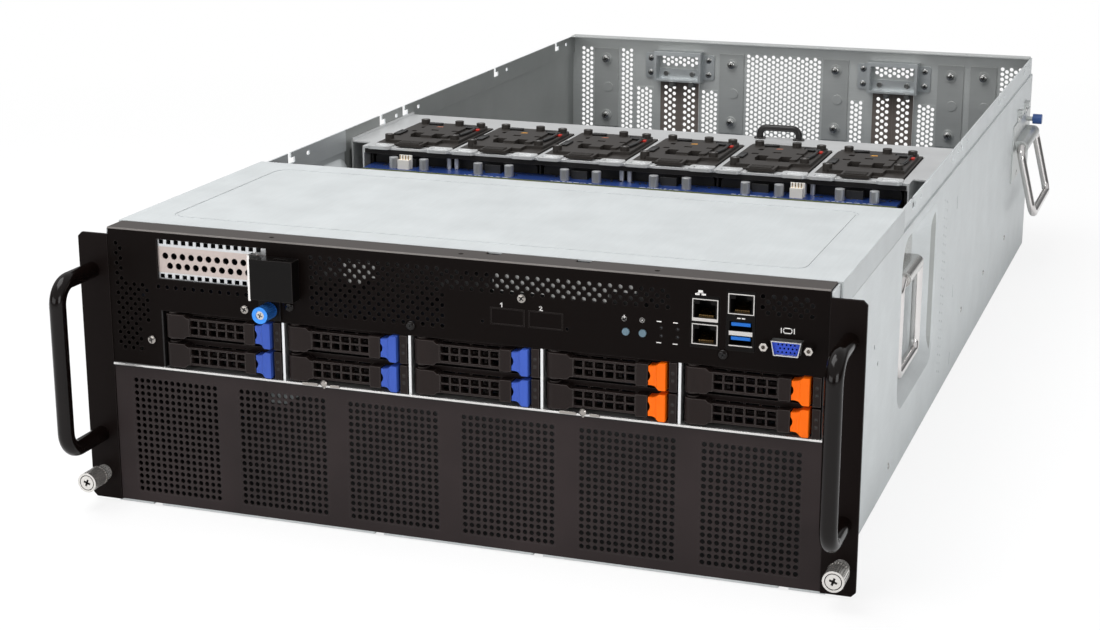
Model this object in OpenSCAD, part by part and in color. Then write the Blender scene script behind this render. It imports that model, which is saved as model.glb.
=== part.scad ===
// 4U rack server for graphics cards, with its rear cover off: sheet-metal chassis, front ports,
// hot-swap drive trays and fan modules, power supplies and carrying handles.
// Millimetres, +Z up, the front faces -Y. Inside this file y = 0 is the front face of the ears.

/* [Chassis] */
// Width of the body over its side walls
chassis_w = 448; // [440:1:470]
// Height of the body
chassis_h = 176; // [165:1:215]
// Depth from the ears' front face to the rear wall
chassis_d = 880; // [800:1:1100]
// Sheet thickness of the walls, panels and covers
sheet = 1.2; // [0.8:0.1:1.6]
// Thickness of the base pan
base_t = 2; // [1.2:0.1:3]
// Height of the set-in band along the top of each side wall
band_h = 16; // [12:1:24]
// How far that band is set in from the side wall
band_inset = 1.4; // [1:0.1:2.5]

/* [Rack ears] */
// Width over both ears, from the 19-inch rack standard
ear_span = 482.6; // [475:0.1:500]
// Thickness of the ear plates
ear_t = 2; // [1.5:0.1:3]
// How much shorter than the body the ears are, at the top
ear_top_gap = 4.5; // [2:0.5:10]
// Depth of the ear's folded flange
ear_flange_d = 32; // [20:1:60]
// Distance between the two feet of a front handle
handle_span = 105; // [80:1:120]
// Diameter of the front handle's rod
handle_rod = 10; // [8:0.5:12]
// Reach of the front handle in front of the ears
handle_reach = 45; // [35:1:60]
// Height of the handle's middle above the base
handle_mid = 96; // [85:1:110]
// Height of the captive rack screws above the base
rack_screw_z = 18; // [12:1:25]
// Diameter of the rack screw's shank
rack_screw_d = 5; // [4:0.5:6]

/* [Front panels] */
// Height of the upper part, with the ports and the drive bays
upper_h = 86; // [80:1:100]
// How far the panels' faces sit behind the ears' front face
panel_y = 0.6; // [0.3:0.1:1.5]
// Depth of the upper panel's folded top flange
flange_d = 18; // [12:1:30]
// Number of perforated fields across the lower panel
field_count = 6; // [4:1:6]
// Distance between the perforated fields
field_pitch = 72; // [60:1:72]
// Distance between the holes of a field
vent_pitch = 4.15; // [4:0.05:6]
// Diameter of the holes of a field
vent_d = 3; // [2:0.1:3.5]

/* [Drive bays] */
// Columns of drive trays
bay_cols = 5; // [5:1:5]
// Blank width left of the drive bays
bay_margin_l = 37.4; // [35:0.1:45]
// Blank width right of the drive bays
bay_margin_r = 4.4; // [4:0.1:10]
// Thickness of the dividers between the drive columns
divider_t = 1.6; // [1:0.1:2]
// Height of a drive tray
tray_h = 16.8; // [15:0.1:17]
// Depth of a drive tray
tray_d = 128; // [110:1:150]
// Running gap between a tray and its bay
tray_gap = 0.3; // [0.2:0.05:0.5]

/* [Fans] */
// Number of fan modules across the chassis
fan_count = 6; // [6:1:6]
// Distance between the fan modules
fan_pitch = 67; // [66:0.5:72]
// Width of a fan module
fan_w = 62; // [58:0.5:62]
// Depth of a fan module
fan_depth = 84; // [60:1:100]
// Distance of the fan modules from the front
fan_y = 346; // [330:1:420]
// Wall between a fan's duct and the side of its module
duct_margin = 2.5; // [2.5:0.5:6]
// Top of the deck that carries the fan modules
deck_drop = 11; // [8:0.5:20]

/* [Covers and rear] */
// Depth of the front top cover, measured from the front
cover_d = 209; // [180:1:300]
// Distance between the rear wall's vent holes
rear_pitch = 4.7; // [4.4:0.1:6]
// Diameter of the rear wall's vent holes
rear_vent_d = 3.5; // [3:0.1:4]
// Width of a power supply
psu_w = 73.5; // [60:0.5:80]
// Height of a power supply
psu_h = 39; // [36:0.5:40]
// Depth of a power supply
psu_d = 185; // [160:1:265]

/* [Side handles] */
// Width of a folding side handle, between its legs' outer faces
bail_w = 112; // [90:1:130]
// Length of a folding side handle's legs
bail_drop = 58; // [45:1:70]
// Diameter of a folding side handle's rod
bail_rod = 7; // [5:0.5:8]
// Width of the handle that folds into the side pocket
pocket_bail_w = 78; // [60:1:80]
// Length of that handle's legs
pocket_bail_drop = 64; // [50:1:66]
// Depth of the side pocket
pocket_depth = 14; // [12:0.5:16]

/* [Hidden] */
$fn = 40;
eps = 0.01;
seat = 0.05;                              // gap under a loose piece that stands on another
hw = chassis_w / 2;                       // half the body's width
inner_x = hw - sheet;                     // inner face of a side wall
band_x = hw - band_inset;                 // outer face of the set-in band
band_z = chassis_h - band_h;              // bottom of the set-in band
fit_x = band_x - sheet - 0.2;             // what spans between both bands ends here
handle_r = handle_rod / 2;
psu_pull = 16;                            // reach of a power supply's pull behind the rear wall
front_y = (handle_reach - chassis_d - psu_pull) / 2;

deck_z = chassis_h - upper_h;             // floor of the drive bays
bay_z0 = deck_z + sheet;
row_step = tray_h + 1.3;
bay_top = bay_z0 + 2 * row_step - 0.6;
bay_left = bay_margin_l - hw;
bay_right = hw - bay_margin_r;
bay_pitch = (bay_right - bay_left) / bay_cols;
tray_w = bay_pitch - divider_t - 1.64;
tray_side = (bay_pitch - tray_w) / 2;

// Places in a drive tray, from its left, front and bottom
pin_x = 5.2;
pin_y = 3.6;
pin_r = 1.2;
lever_r = 4.6;
latch_w = 10.2;
strip_w = 4.4;
latch_x = tray_w - strip_w - 1.7 - latch_w;
lever_end = latch_x - 0.4;
tray_mid = tray_h / 2;
latch_travel = 1.2;
bezel_y = 7.4;

deck_top = chassis_h - deck_drop;         // top of the fan deck
deck_under = deck_top - sheet;
fan_z0 = base_t + 0.3;
fan_zs = [fan_z0 + 38, fan_z0 + 108];     // centres of a module's two fans
duct_r = fan_w / 2 - duct_margin;
board_z = deck_under - 14;                // underside of the fan board
board_t = 1.6;

psu_x = [-(psu_w + 3), 3];                // left edges of the power supplies
psu_z = base_t + 0.3;
gpu_board_z = psu_z + psu_h + 4;
rear_y = chassis_d - sheet;
wall_y = chassis_d;
strips_x = [-187.8, -60.8, 41, 149.5, 179.8];   // centres of the rear wall's stiffening strips
strip_rear_w = 24;
windows_x = [-112.7, 96.4];                   // centres of the expansion slot windows
window_w = 38.6;
window_z = [gpu_board_z + 3, chassis_h - 42];

port_z = chassis_h - 34.2;                // middle of the lower row of ports
power_x = hw - 117.3;
id_x = hw - 107.5;
button_r = 2.1;
blue_x = 110.7 - hw;
blue_z = chassis_h - 42;
lp_a = [36 - hw, chassis_h - 29.5];       // corners of the card slot window
lp_b = [36 - hw + 73, chassis_h - 5];

pocket_a = [208, 38];
pocket_b = [350, 154];
floor_a = [238, 50];
floor_b = [324, 144];
pocket_bail_y = (floor_a.x + floor_b.x) / 2;
pocket_bail_z = floor_a.y + pocket_bail_drop + bail_rod / 2 + 0.5;
side_bail_y = chassis_d - 70;
side_bail_z = 112;
knuckle_r = bail_rod / 2 + 2;
bail_gap = 0.08;
side_bail_x = hw + sheet + knuckle_r;
pocket_bail_x = hw - pocket_depth + sheet + knuckle_r;
side_bail_lean = 14;

rack_screw_x = (ear_span / 2 + hw) / 2;
rack_screw_r = rack_screw_d / 2;
screw_gap = 0.08;
ear_relief = 0.4;
ear_z = [1.5, chassis_h - ear_top_gap];

carrier_names = [for (c = [1:bay_cols], r = ["lower", "upper"]) str("tray_", c, "_", r)];

// ---------- shared shapes ----------
module place() translate([0, front_y, 0]) children();
module block(a, b) translate(a) cube(b - a);
module rect(a, b) translate(a) square(b - a);
module rounded(a, b, r) {
    rect([a.x + r, a.y], [b.x - r, b.y]);
    rect([a.x, a.y + r], [b.x, b.y - r]);
    for (x = [a.x + r, b.x - r], y = [a.y + r, b.y - r]) translate([x, y]) circle(r);
}
// A flat shape drawn in X and Z, from y towards the back by t
module facing_front(y, t) translate([0, y + t, 0]) rotate([90, 0, 0]) linear_extrude(t) children();
// A flat shape drawn in Y and Z, from x towards the right by t
module facing_side(x, t) translate([x, 0, 0]) rotate([90, 0, 90]) linear_extrude(t) children();
module both_sides() {
    children();
    mirror([1, 0, 0]) children();
}
module rod_y(r, y1, y2) translate([0, y1, 0]) rotate([-90, 0, 0]) cylinder(r = r, h = y2 - y1);
// Columns of holes, every second one half a step lower; at is the first hole at the top left
module staggered(at, cols, rows, step, r)
    for (i = [0:cols - 1], j = [0:rows - 1])
        translate([at.x + i * step.x, at.y - (j + (i % 2) / 2) * step.y]) circle(r);
// Quarter of a rod's bend in the plane of Y and Z, from the angle a to a + 90, where 0 is +Y
module rod_bend(r, bend, a) rotate([a, 0, 0]) rotate([90, 0, 90])
    rotate_extrude(angle = 90) translate([bend, 0]) circle(r);

// ---------- chassis ----------
module base_pan() difference() {
    block([-hw, ear_t + 0.1, 0], [hw, wall_y, base_t]);
    for (x = [-197, -47, 54, 200]) block([x - 3, ear_t - 1, -1], [x + 3, ear_t + 3, base_t + 1]);
}
module pocket_form(grow, mouth) hull() {
    facing_side(mouth - eps, eps)
        rounded(pocket_a - [grow, grow], pocket_b + [grow, grow], 20, $fn = 32);
    facing_side(hw - pocket_depth - grow, eps)
        rounded(floor_a - [grow, grow], floor_b + [grow, grow], 14, $fn = 32);
}
hook_ys = [for (y = [245, 405, 450]) y, for (y = [225, 60]) chassis_d - y];
module hook_notch(y) {
    rect([y, chassis_h - 9], [y + 5, chassis_h + 1]);
    rect([y + 3, chassis_h - 9], [y + 11, chassis_h - 5]);
}
module side_wall() difference() {
    union() {
        facing_side(inner_x, sheet) difference() {
            rect([ear_t, base_t], [wall_y, band_z]);
            staggered([378, 146], 2, 21, [10, 6.3], 1);
            for (z = [8, 60, 127]) rounded([436, z], [438, z + 10], 0.9);
            for (y = [122, 136]) translate([y, 232 - y]) circle(1.6);
        }
        block([band_x - sheet, ear_t, band_z - sheet], [hw, wall_y, band_z]);
        facing_side(band_x - sheet, sheet) difference() {
            rect([ear_t, band_z - sheet], [wall_y, chassis_h - sheet]);
            for (y = hook_ys) hook_notch(y);
            for (y = hook_ys) rounded([y + 30, chassis_h - 8], [y + 35, chassis_h - 5], 1);
        }
        pocket_form(sheet, hw);
    }
    pocket_form(0, hw + 1);
}
module chassis_shell() place() color("#c6cccd") {
    base_pan();
    both_sides() side_wall();
}

// ---------- rear wall ----------
vent_step = [rear_pitch * 0.866, rear_pitch];
vent_top = chassis_h - 11;
vent_low = gpu_board_z + 12;
strip_z = [chassis_h - 89, chassis_h - 12];
boss_zs = [chassis_h - 22, chassis_h - 78];
// Perforated fields as [left, right, bottom, top]
vent_fields = concat(
    [for (x = [[-215, -200.5], [-174, -159.5], [-47.5, 27.5], [193.5, 216]]) [x.x, x.y, vent_low, vent_top]],
    [for (x = [[-158, -139.5], [-91, -74.5]]) [x.x, x.y, vent_low, chassis_h - 48]],
    [for (x = [[54.5, 68.5], [119.5, 136]]) [x.x, x.y, vent_low, chassis_h - 50]],
    [[163.2, 167.2, vent_low, chassis_h - 15]],
    [for (x = strips_x) if (x < 170) [x - 10.5, x + 10.5, vent_low, strip_z[0] - 2]],
    [for (x = windows_x) [x - 19, x + 19, chassis_h - 28, chassis_h - 15.5]]);
module vent_cut(f) rect([f[0], f[2]], [f[1], f[3]]);
module vent_field(f) {
    cols = floor((f[1] - f[0] - rear_vent_d - 0.6) / vent_step.x) + 1;
    rows = floor((f[3] - f[2] - rear_vent_d - 0.6) / vent_step.y - (cols > 1 ? 0.5 : 0)) + 1;
    facing_front(rear_y - press, sheet) difference() {
        vent_cut(f);
        staggered([(f[0] + f[1] - (cols - 1) * vent_step.x) / 2, f[3] - 0.3 - rear_vent_d / 2],
                  cols, rows, vent_step, rear_vent_d / 2);
    }
}
module strip(x) difference() {
    union() {
        block([x - strip_rear_w / 2, rear_y - sheet, strip_z[0]], [x + strip_rear_w / 2, rear_y, strip_z[1]]);
        for (z = boss_zs) translate([x, 0, z]) {
            rod_y(5.4, rear_y - sheet - 0.8, rear_y);
            rod_y(3.4, rear_y - sheet - 3, rear_y);
        }
        translate([x + 2, 0, (boss_zs[0] + boss_zs[1]) / 2]) rod_y(4.6, rear_y - sheet - 0.6, rear_y);
    }
    for (z = boss_zs) translate([x, 0, z]) rod_y(1.6, rear_y - sheet - 4, rear_y - 0.5);
}
module rear_wall() place() color("#8d9599") union() {
    facing_front(rear_y, sheet) difference() {
        union() {
            rect([-inner_x, base_t], [inner_x, band_z - sheet]);
            rect([-fit_x, base_t], [fit_x, chassis_h]);
        }
        for (f = vent_fields) vent_cut(f);
        for (x = windows_x) rect([x - window_w / 2, window_z[0]], [x + window_w / 2, window_z[1]]);
        for (x = psu_x) rect([x - 0.3, base_t - 1], [x + psu_w + 0.3, psu_z + psu_h + 0.4]);
    }
    for (f = vent_fields) vent_field(f);
    difference() {
        block([-fit_x, wall_y - 13, chassis_h - sheet], [fit_x, wall_y, chassis_h]);
        for (x = [-hw + 60, 0, hw - 60]) translate([x, wall_y - 7, chassis_h - 5]) cylinder(r = 1.6, h = 10);
    }
    for (x = strips_x) strip(x);
}

// ---------- covers and panels ----------
module front_cover() place() color("#ccd2d3") difference() {
    union() {
        block([-hw, flange_d + 1.2, chassis_h - sheet], [hw, cover_d, chassis_h]);
        both_sides() block([band_x + 0.2, flange_d + 1.2, band_z + 0.2], [hw, cover_d, chassis_h]);
        block([-fit_x, cover_d - sheet, chassis_h - 7], [fit_x, cover_d, chassis_h]);
    }
    translate([0, 0, chassis_h - 0.35]) linear_extrude(1) difference() {
        rounded([24 - hw, flange_d + 20], [hw - 24, cover_d - 18], 10);
        rounded([26 - hw, flange_d + 22], [hw - 26, cover_d - 20], 8);
    }
}

left_step = [2.85, 6.2];
mid_step = [3.05, 6.1];
hole_r = 1.3;
module left_holes() {
    x = 8 - hw;
    top = chassis_h - 9.6;
    staggered([x, top], 2, 11, left_step, hole_r);
    staggered([x + 2 * left_step.x, top - 4 * left_step.y], 4, 7, left_step, hole_r);
    staggered([x + 6 * left_step.x, top - 4 * left_step.y], 2, 4, left_step, hole_r);
    for (i = [0:10]) translate([36 - hw + i * 5.9, chassis_h - 34.4]) circle(hole_r);
}
module middle_holes() {
    x = hw - 310;
    top = chassis_h - 7.8;
    staggered([x, top], 28, 6, mid_step, hole_r);
    staggered([x + 28 * mid_step.x, top - 1], 44, 2, mid_step, hole_r);
}
jack_w = 13.2;
jack_x = [hw - 72, hw - 51.8];            // middles of the two port columns
jack_z = [port_z + 2.2, port_z + 16.4, port_z + 21];
module port_holes() {
    rect([jack_x[0] - 8.2, port_z - 5], [jack_x[0] + 8.2, port_z + 24.5]);
    rect([jack_x[1] - 8.2, port_z - 5], [jack_x[1] + 8.2, port_z + 29]);
    translate([hw - 25.4, port_z]) dsub_outline(17.4, 9);
    for (x = [-12.5, 12.5]) translate([hw - 25.4 + x, port_z]) circle(1.7);
    for (x = [power_x, id_x]) translate([x, port_z]) circle(button_r + 0.2);
    for (x = [hw - 96.9, hw - 87.5], z = [port_z - 0.6, port_z + 4]) translate([x, z]) circle(0.9);
    staggered([hw - 40, chassis_h - 7], 10, 2, mid_step, hole_r);
}
module dsub_outline(w, h) polygon([[-w / 2, h / 2], [w / 2, h / 2], [w / 2 - 1.6, -h / 2], [1.6 - w / 2, -h / 2]]);
module upper_front_panel() place() color("#1a1514") difference() {
    union() {
        facing_front(panel_y, sheet) difference() {
            rect([-inner_x + 1.7, bay_z0 + 0.2], [inner_x - 1.7, chassis_h]);
            rect([bay_left, bay_z0 - 1], [bay_right, bay_top]);
            rect(lp_a, lp_b);
            left_holes();
            middle_holes();
            port_holes();
            translate([blue_x, blue_z]) circle(2.05);
        }
        difference() {
            block([-fit_x, panel_y, chassis_h - sheet], [fit_x, flange_d, chassis_h]);
            for (x = [18.5, 72.6]) block([x, flange_d - 5, chassis_h - 5], [x + 8.6, flange_d + 1, chassis_h + 1]);
            for (x = [-115, 5, 122]) translate([x, flange_d / 2, chassis_h - 5]) cylinder(r = 1.6, h = 10);
        }
        // shallow frames of the two blanked network ports
        for (x = [hw - 198, hw - 175])
            facing_front(panel_y - 0.3, 0.4) difference() {
                rect([x, chassis_h - 37.4], [x + 20.6, chassis_h - 27.4]);
                rect([x + 0.7, chassis_h - 36.7], [x + 19.9, chassis_h - 28.1]);
            }
    }
    for (x = [hw - 203, hw - 152]) translate([x, 0, chassis_h - 36.3]) rod_y(1, panel_y - 1, panel_y + sheet + 1);
}

press = 0.15;
field_cols = floor((field_pitch - 14.5) / vent_pitch) + 1;
field_w = field_cols * vent_pitch;
field_rows = floor((deck_z - 14) / vent_pitch);
field_h = field_rows * vent_pitch;
field_z = (deck_z + base_t - field_h) / 2 - 0.5;
function field_x(i) = (i - field_count / 2 + 0.5) * field_pitch - field_w / 2;
module lower_front_panel() place() color("#2b2625") union() {
    facing_front(panel_y, sheet) difference() {
        rect([-inner_x + 1.7, base_t], [inner_x - 1.7, deck_z - 0.8]);
        for (k = [0:field_count - 1]) translate([field_x(k), field_z]) square([field_w, field_h]);
    }
    // the perforated fields, pressed in a little by the punching
    for (k = [0:field_count - 1]) translate([field_x(k), 0, field_z]) facing_front(panel_y + press, sheet) difference() {
        square([field_w, field_h]);
        for (i = [0:field_cols - 1], j = [0:field_rows - 1])
            translate([(i + 0.5) * vent_pitch, (j + 0.5) * vent_pitch]) circle(vent_d / 2);
    }
    block([-inner_x + 1.7, panel_y, base_t], [inner_x - 1.7, panel_y + 14, base_t + sheet]);
    block([-inner_x + 1.7, panel_y, deck_z - 0.8 - sheet], [inner_x - 1.7, panel_y + 12, deck_z - 0.8]);
}

// ---------- ears, front handles and rack screws ----------
handle_z = [handle_mid - handle_span / 2, handle_mid + handle_span / 2];
module rack_ears() place() both_sides() {
    color("#1a1412") {
        union() {
            facing_front(0, ear_t) difference() {
                polygon([[hw + ear_relief, ear_z[0]], [ear_span / 2 - 2.5, ear_z[0]], [ear_span / 2, ear_z[0] + 2.5],
                         [ear_span / 2, ear_z[1] - 2.5], [ear_span / 2 - 2.5, ear_z[1]], [hw + ear_relief, ear_z[1]]]);
                translate([rack_screw_x, rack_screw_z]) circle(rack_screw_r + screw_gap);
                for (z = handle_z) translate([rack_screw_x, z]) circle(2);
            }
            // thinned in front of the side wall, so that the ear seats flat on a rack's rail
            block([inner_x - 1.5, 0, ear_z[0]], [hw + ear_relief + eps, ear_t - 0.1, ear_z[1]]);
            block([inner_x - 1.5, 0, base_t + 0.3], [inner_x, ear_flange_d, band_z - sheet - 0.3]);
        }
    }
    color("silver") translate([rack_screw_x, 0, rack_screw_z]) difference() {
        rod_y(5, -6, 0);
        rod_y(rack_screw_r + screw_gap, -7, 1);
    }
}
handle_bend = 13;
module front_handle() {
    out = handle_reach - handle_r;
    for (z = handle_z) translate([0, 0, z]) difference() {
        rod_y(handle_r, handle_bend - out, 0);
        rod_y(1.6, -10, 1);
    }
    translate([0, -out, handle_z[0] + handle_bend]) cylinder(r = handle_r, h = handle_span - 2 * handle_bend);
    translate([0, handle_bend - out, handle_z[0] + handle_bend]) rod_bend(handle_r, handle_bend, 180);
    translate([0, handle_bend - out, handle_z[1] - handle_bend]) rod_bend(handle_r, handle_bend, 90);
}
module front_handles() place() color("#17120f") both_sides() translate([rack_screw_x, 0, 0]) front_handle();

module knurled(r, y1, y2, grooves) difference() {
    rod_y(r, y1, y2);
    for (a = [0:360 / grooves:359]) rotate([0, a, 0]) translate([r, 0, 0]) rod_y(0.35, y1 + 1, y2 - 1, $fn = 16);
}
module phillips(size, y1, y2) for (a = [0, 90]) rotate([0, a + 20, 0])
    block([-size / 2, y1, -size / 7], [size / 2, y2, size / 7]);
thread_y = [ear_t + 0.3, ear_t + 10];      // the captive screw's neck in the ear is thinner
module rack_screw() color("#d9d6d3") difference() {
    union() {
        knurled(6.2, -21, -6.6, 24);
        rod_y(rack_screw_r - 0.5, -8, thread_y[0] + 0.1);
        rod_y(rack_screw_r, thread_y[0], thread_y[1]);
    }
    difference() {
        rod_y(4.9, -22, -20.2);
        rod_y(4.4, -23, -19);
    }
    phillips(4.6, -22, -18.6);
}
module retainer_screw() place() color("#3f8fe0") translate([blue_x, 0, blue_z]) difference() {
    union() {
        knurled(5, -13.5, -0.8, 20);
        rod_y(2, -2, 9);
    }
    rod_y(2.7, -14, -13);
    phillips(3.2, -14, -11.5);
}

// ---------- drive cage and trays ----------
ledge_w = 3;
module divider(x, t) {
    block([x, 0.2, bay_z0], [x + t, tray_d + 3.8, bay_top]);
    for (side = [-1, 1]) if (abs(x + side * 20) < hw) {
        edge = side < 0 ? x - ledge_w : x + t;
        block([edge, 12, bay_z0 + row_step - 0.6], [edge + ledge_w, tray_d, bay_z0 + row_step]);
    }
}
module drive_cage() place() color("#d2d6d8") {
    // floor with the bright lip between the two front panels
    union() {
        block([-inner_x + 1.8, panel_y + 1.4, deck_z], [inner_x - 1.8, tray_d + 12, bay_z0]);
        block([-inner_x + 1.8, panel_y - 1.6, deck_z - 0.7], [inner_x - 1.8, panel_y + 1.4, bay_z0]);
    }
    block([bay_left, panel_y + sheet, bay_top], [bay_right, tray_d + 12, bay_top + sheet]);
    for (k = [0:bay_cols]) {
        x = bay_left + k * bay_pitch;
        divider(k == 0 ? x : k == bay_cols ? x - 1 : x - divider_t / 2, k == 0 || k == bay_cols ? 1 : divider_t);
    }
}

module tray_place(i) {
    col = floor(i / 2);
    row = i % 2;
    place() translate([bay_left + col * bay_pitch + tray_side, 0, bay_z0 + tray_gap + row * row_step]) children();
}
window_x = [for (k = [0:4]) 16 + k * 9.2];
module tray_carrier() color("#1f1b1a") {
    union() {
        // front frame behind the lever
        facing_front(bezel_y, 1.5) difference() {
            rect([0, 0], [tray_w, tray_h]);
            for (x = window_x, z = [3, 9.4]) rect([x, z], [x + 7.6, z + 4.4]);
            rect([latch_x + 2.7, tray_mid - 2.3], [latch_x + 8.6 + latch_travel, tray_mid + 2.3]);
        }
        // lips that hold the lever's pin
        for (z = [0, tray_h - 0.8]) translate([0, 0, z]) linear_extrude(0.8) {
            translate([pin_x, pin_y]) circle(3.2);
            rect([pin_x - 3.2, pin_y], [pin_x + 3.2, bezel_y + 1]);
        }
        translate([pin_x, pin_y, 0]) cylinder(r = pin_r, h = tray_h);
        // right strip with two light windows
        difference() {
            block([tray_w - strip_w, -0.4, 0], [tray_w, bezel_y + 1, tray_h]);
            for (z = [tray_mid - 2.8, tray_mid + 1.6])
                block([tray_w - strip_w + 1.4, -1, z], [tray_w - strip_w + 2.8, 1, z + 1.4]);
        }
        // side rails, rear bar and shelf strips
        for (x = [0, tray_w - 1.2]) difference() {
            block([x, bezel_y + 1, 0], [x + 1.2, tray_d, tray_h - 3]);
            for (y = [34, 110]) translate([x - 1, y, 5]) rotate([0, 90, 0]) cylinder(r = 1.6, h = 4);
        }
        block([0, tray_d - 1.2, 0], [tray_w, tray_d, 5]);
        for (x = [0, tray_w - 5]) block([x, bezel_y + 1, 0], [x + 5, tray_d, 1]);
    }
}
module lever_front() {
    // hinge block with a sloping end, grille and end block, as seen from the front
    polygon([[0.5, 1.1], [13.4, 1.1], [17.4, 4.2], [17.4, tray_h - 4.2], [13.4, tray_h - 1.1], [0.5, tray_h - 1.1]]);
    rect([13, 2.9], [lever_end - 6, tray_h - 2.9]);
    rect([lever_end - 6.8, 2], [lever_end, tray_h - 2]);
}
lever_cells = 6;
cell_pitch = (lever_end - 6.8 - 17.6) / lever_cells;
module tray_lever() color("#262120") difference() {
    intersection() {
        facing_front(-3, 12) lever_front();
        linear_extrude(tray_h) {
            translate([pin_x, pin_y]) circle(lever_r - 1.3);
            intersection() {
                translate([pin_x, pin_y]) circle(lever_r);
                rect([0, pin_y - lever_r], [pin_x + 1, pin_y]);
            }
            rect([pin_x, pin_y - lever_r], [17.4, pin_y + 2]);
            rect([17, pin_y - lever_r + 1], [lever_end, pin_y + 1]);
            rect([lever_end - 6.8, pin_y - lever_r - 0.4], [lever_end, pin_y + 1.6]);
        }
    }
    translate([pin_x, pin_y, -1]) cylinder(r = pin_r + 0.05, h = tray_h + 2);
    for (k = [0:lever_cells - 1], z = [4, tray_mid + 0.45])
        block([17.6 + k * cell_pitch, -4, z], [17.6 + (k + 1) * cell_pitch - 1, 9, z + tray_mid - 4.45]);
}
module latch_front() difference() {
    rect([0, 0.6], [latch_w, tray_h - 0.6]);
    for (z = [tray_mid - 12.2, tray_mid + 12.2]) translate([1.2, z]) circle(6.8);
    translate([-2.4, tray_mid]) circle(3.6);
}
module tray_latch(tint) color(tint) translate([latch_x, 0, 0]) union() {
    intersection() {
        facing_front(-4, 12) latch_front();
        linear_extrude(tray_h) {
            rect([0, -1], [latch_w, bezel_y - 0.4]);
            difference() {
                rect([3, -2.2], [latch_w, 0]);
                translate([3, -3.8]) circle(2.8);
            }
        }
    }
    // stem through the slot, with a foot behind the bezel
    block([3.2, 5, tray_mid - 2], [7.4, bezel_y + 3.4, tray_mid + 2]);
    block([1.6, bezel_y + 1.8, tray_mid - 3.6], [8.6, bezel_y + 3.4, tray_mid + 3.6]);
}

// ---------- fans ----------
function fan_x(i) = (i - fan_count / 2 + 0.5) * fan_pitch;
module fan_flange(y) facing_front(y, 3) difference() {
    rounded([-fan_w / 2, fan_z0], [fan_w / 2, deck_under - 6], 3);
    for (z = fan_zs) translate([0, z]) circle(duct_r);
    for (z = fan_zs, x = [-1, 1], k = [-1, 1]) translate([x * 25.5, z + k * 25.5]) circle(2.1);
}
module fan_frame() union() {
    for (y = [0, fan_depth - 3]) fan_flange(y);
    for (z = fan_zs) {
        translate([0, 0, z]) difference() {
            rod_y(duct_r + 1.4, 1, fan_depth - 1);
            rod_y(duct_r, 0, fan_depth);
        }
        // motor cup on four struts, with the rotor's shaft
        translate([0, 0, z]) {
            rod_y(hub_r, fan_depth - 9, fan_depth - 2);
            rod_y(1.5, fan_depth - 22, fan_depth - 8);
            for (a = [45:90:315]) rotate([0, a, 0]) block([11, fan_depth - 6, -1.2], [duct_r + 0.6, fan_depth - 2, 1.2]);
        }
    }
    block([-fan_w / 2 + 4, 1, fan_zs[1] + duct_r], [4 - fan_w / 2 + 2, fan_depth - 1, deck_under - 6]);
    block([fan_w / 2 - 6, 1, fan_zs[1] + duct_r], [fan_w / 2 - 4, fan_depth - 1, deck_under - 6]);
}
hub_r = 12.5;
rotor_y = 4;
rotor_mid = (rotor_y + fan_depth - 10) / 2;
blade_row = (fan_depth - 10 - rotor_y) / 4;  // half the depth of each of the two rows of blades
module fan_rotor() difference() {
    union() {
        rod_y(hub_r, rotor_y, fan_depth - 9.8);
        for (a = [0:360 / 7:359]) rotate([0, a, 0]) intersection() {
            for (s = [-1, 1]) translate([10, rotor_mid + s * blade_row, 0]) rotate([s * 35, 0, 0])
                block([0, -blade_row, -0.8], [duct_r - 11, blade_row, 0.8]);
            rod_y(duct_r - 0.8, rotor_y, fan_depth - 10);
        }
    }
    rod_y(1.58, fan_depth - 24, fan_depth);
}
cap_z = deck_under - 6;
cap_top = deck_top + 3;
cap_screws = [[7 - fan_w / 2, 10], [fan_w / 2 - 7, 22], [9 - fan_w / 2, fan_depth - 8], [fan_w / 2 - 6, fan_depth - 10]];
lip_w = 15;
lip_rise = 1.2;
tab_w = fan_w / 2 - lip_w - 5;              // half the finger tab's width, between two lips
module fan_cap() difference() {
    union() {
        block([-fan_w / 2, 0, cap_z], [fan_w / 2, fan_depth, deck_top + 0.8]);
        // stepped plate with a narrower front, pad and finger tab
        linear_extrude(cap_top) difference() {
            rounded([3 - fan_w / 2, 5], [fan_w / 2 - 2, fan_depth - 3], 4);
            rounded([fan_w / 2 - 15, -8], [fan_w / 2 + 4, 17], 3);
            rounded([-fan_w / 2 - 4, -8], [9 - fan_w / 2, 13], 2);
        }
        linear_extrude(deck_top + 4.6) rounded([-13, 22], [18, 62], 3);
        block([-tab_w, -9, deck_top + 1], [tab_w - 2, 8, deck_top + 3.2]);
        for (y = [-8:2.6:2]) block([2 - tab_w, y, deck_top + 1.6], [tab_w - 4, y + 1.2, deck_top + 4]);
        // screw bosses and pull knobs
        for (at = concat(cap_screws, [[6, fan_depth - 7]]))
            translate([at.x, at.y, cap_z]) cylinder(r = 3.4, h = cap_top + 3.2 - cap_z);
    }
    block([-fan_w / 2 - 1, -10, -1], [fan_w / 2 + 1, fan_depth + 1, cap_z]);
    block([2 - fan_w / 2, 2, cap_z - 1], [fan_w / 2 - 2, fan_depth - 2, deck_top - 1]);
    for (at = [[-12, 20], [5, 20]]) block([at.x, at.y, 0], [at.x + 8, at.y + 11, chassis_h]);
    for (x = [-20, -4, 13]) block([x, 42, 0], [x + 6, 46, chassis_h]);
    for (at = [[-16, 60], [8, 66]]) translate([at.x, at.y, 0]) cylinder(r = 3, h = chassis_h);
    for (at = cap_screws) translate([at.x, at.y, cap_top + 2]) cylinder(r = 1.7, h = 9);
}
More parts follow.
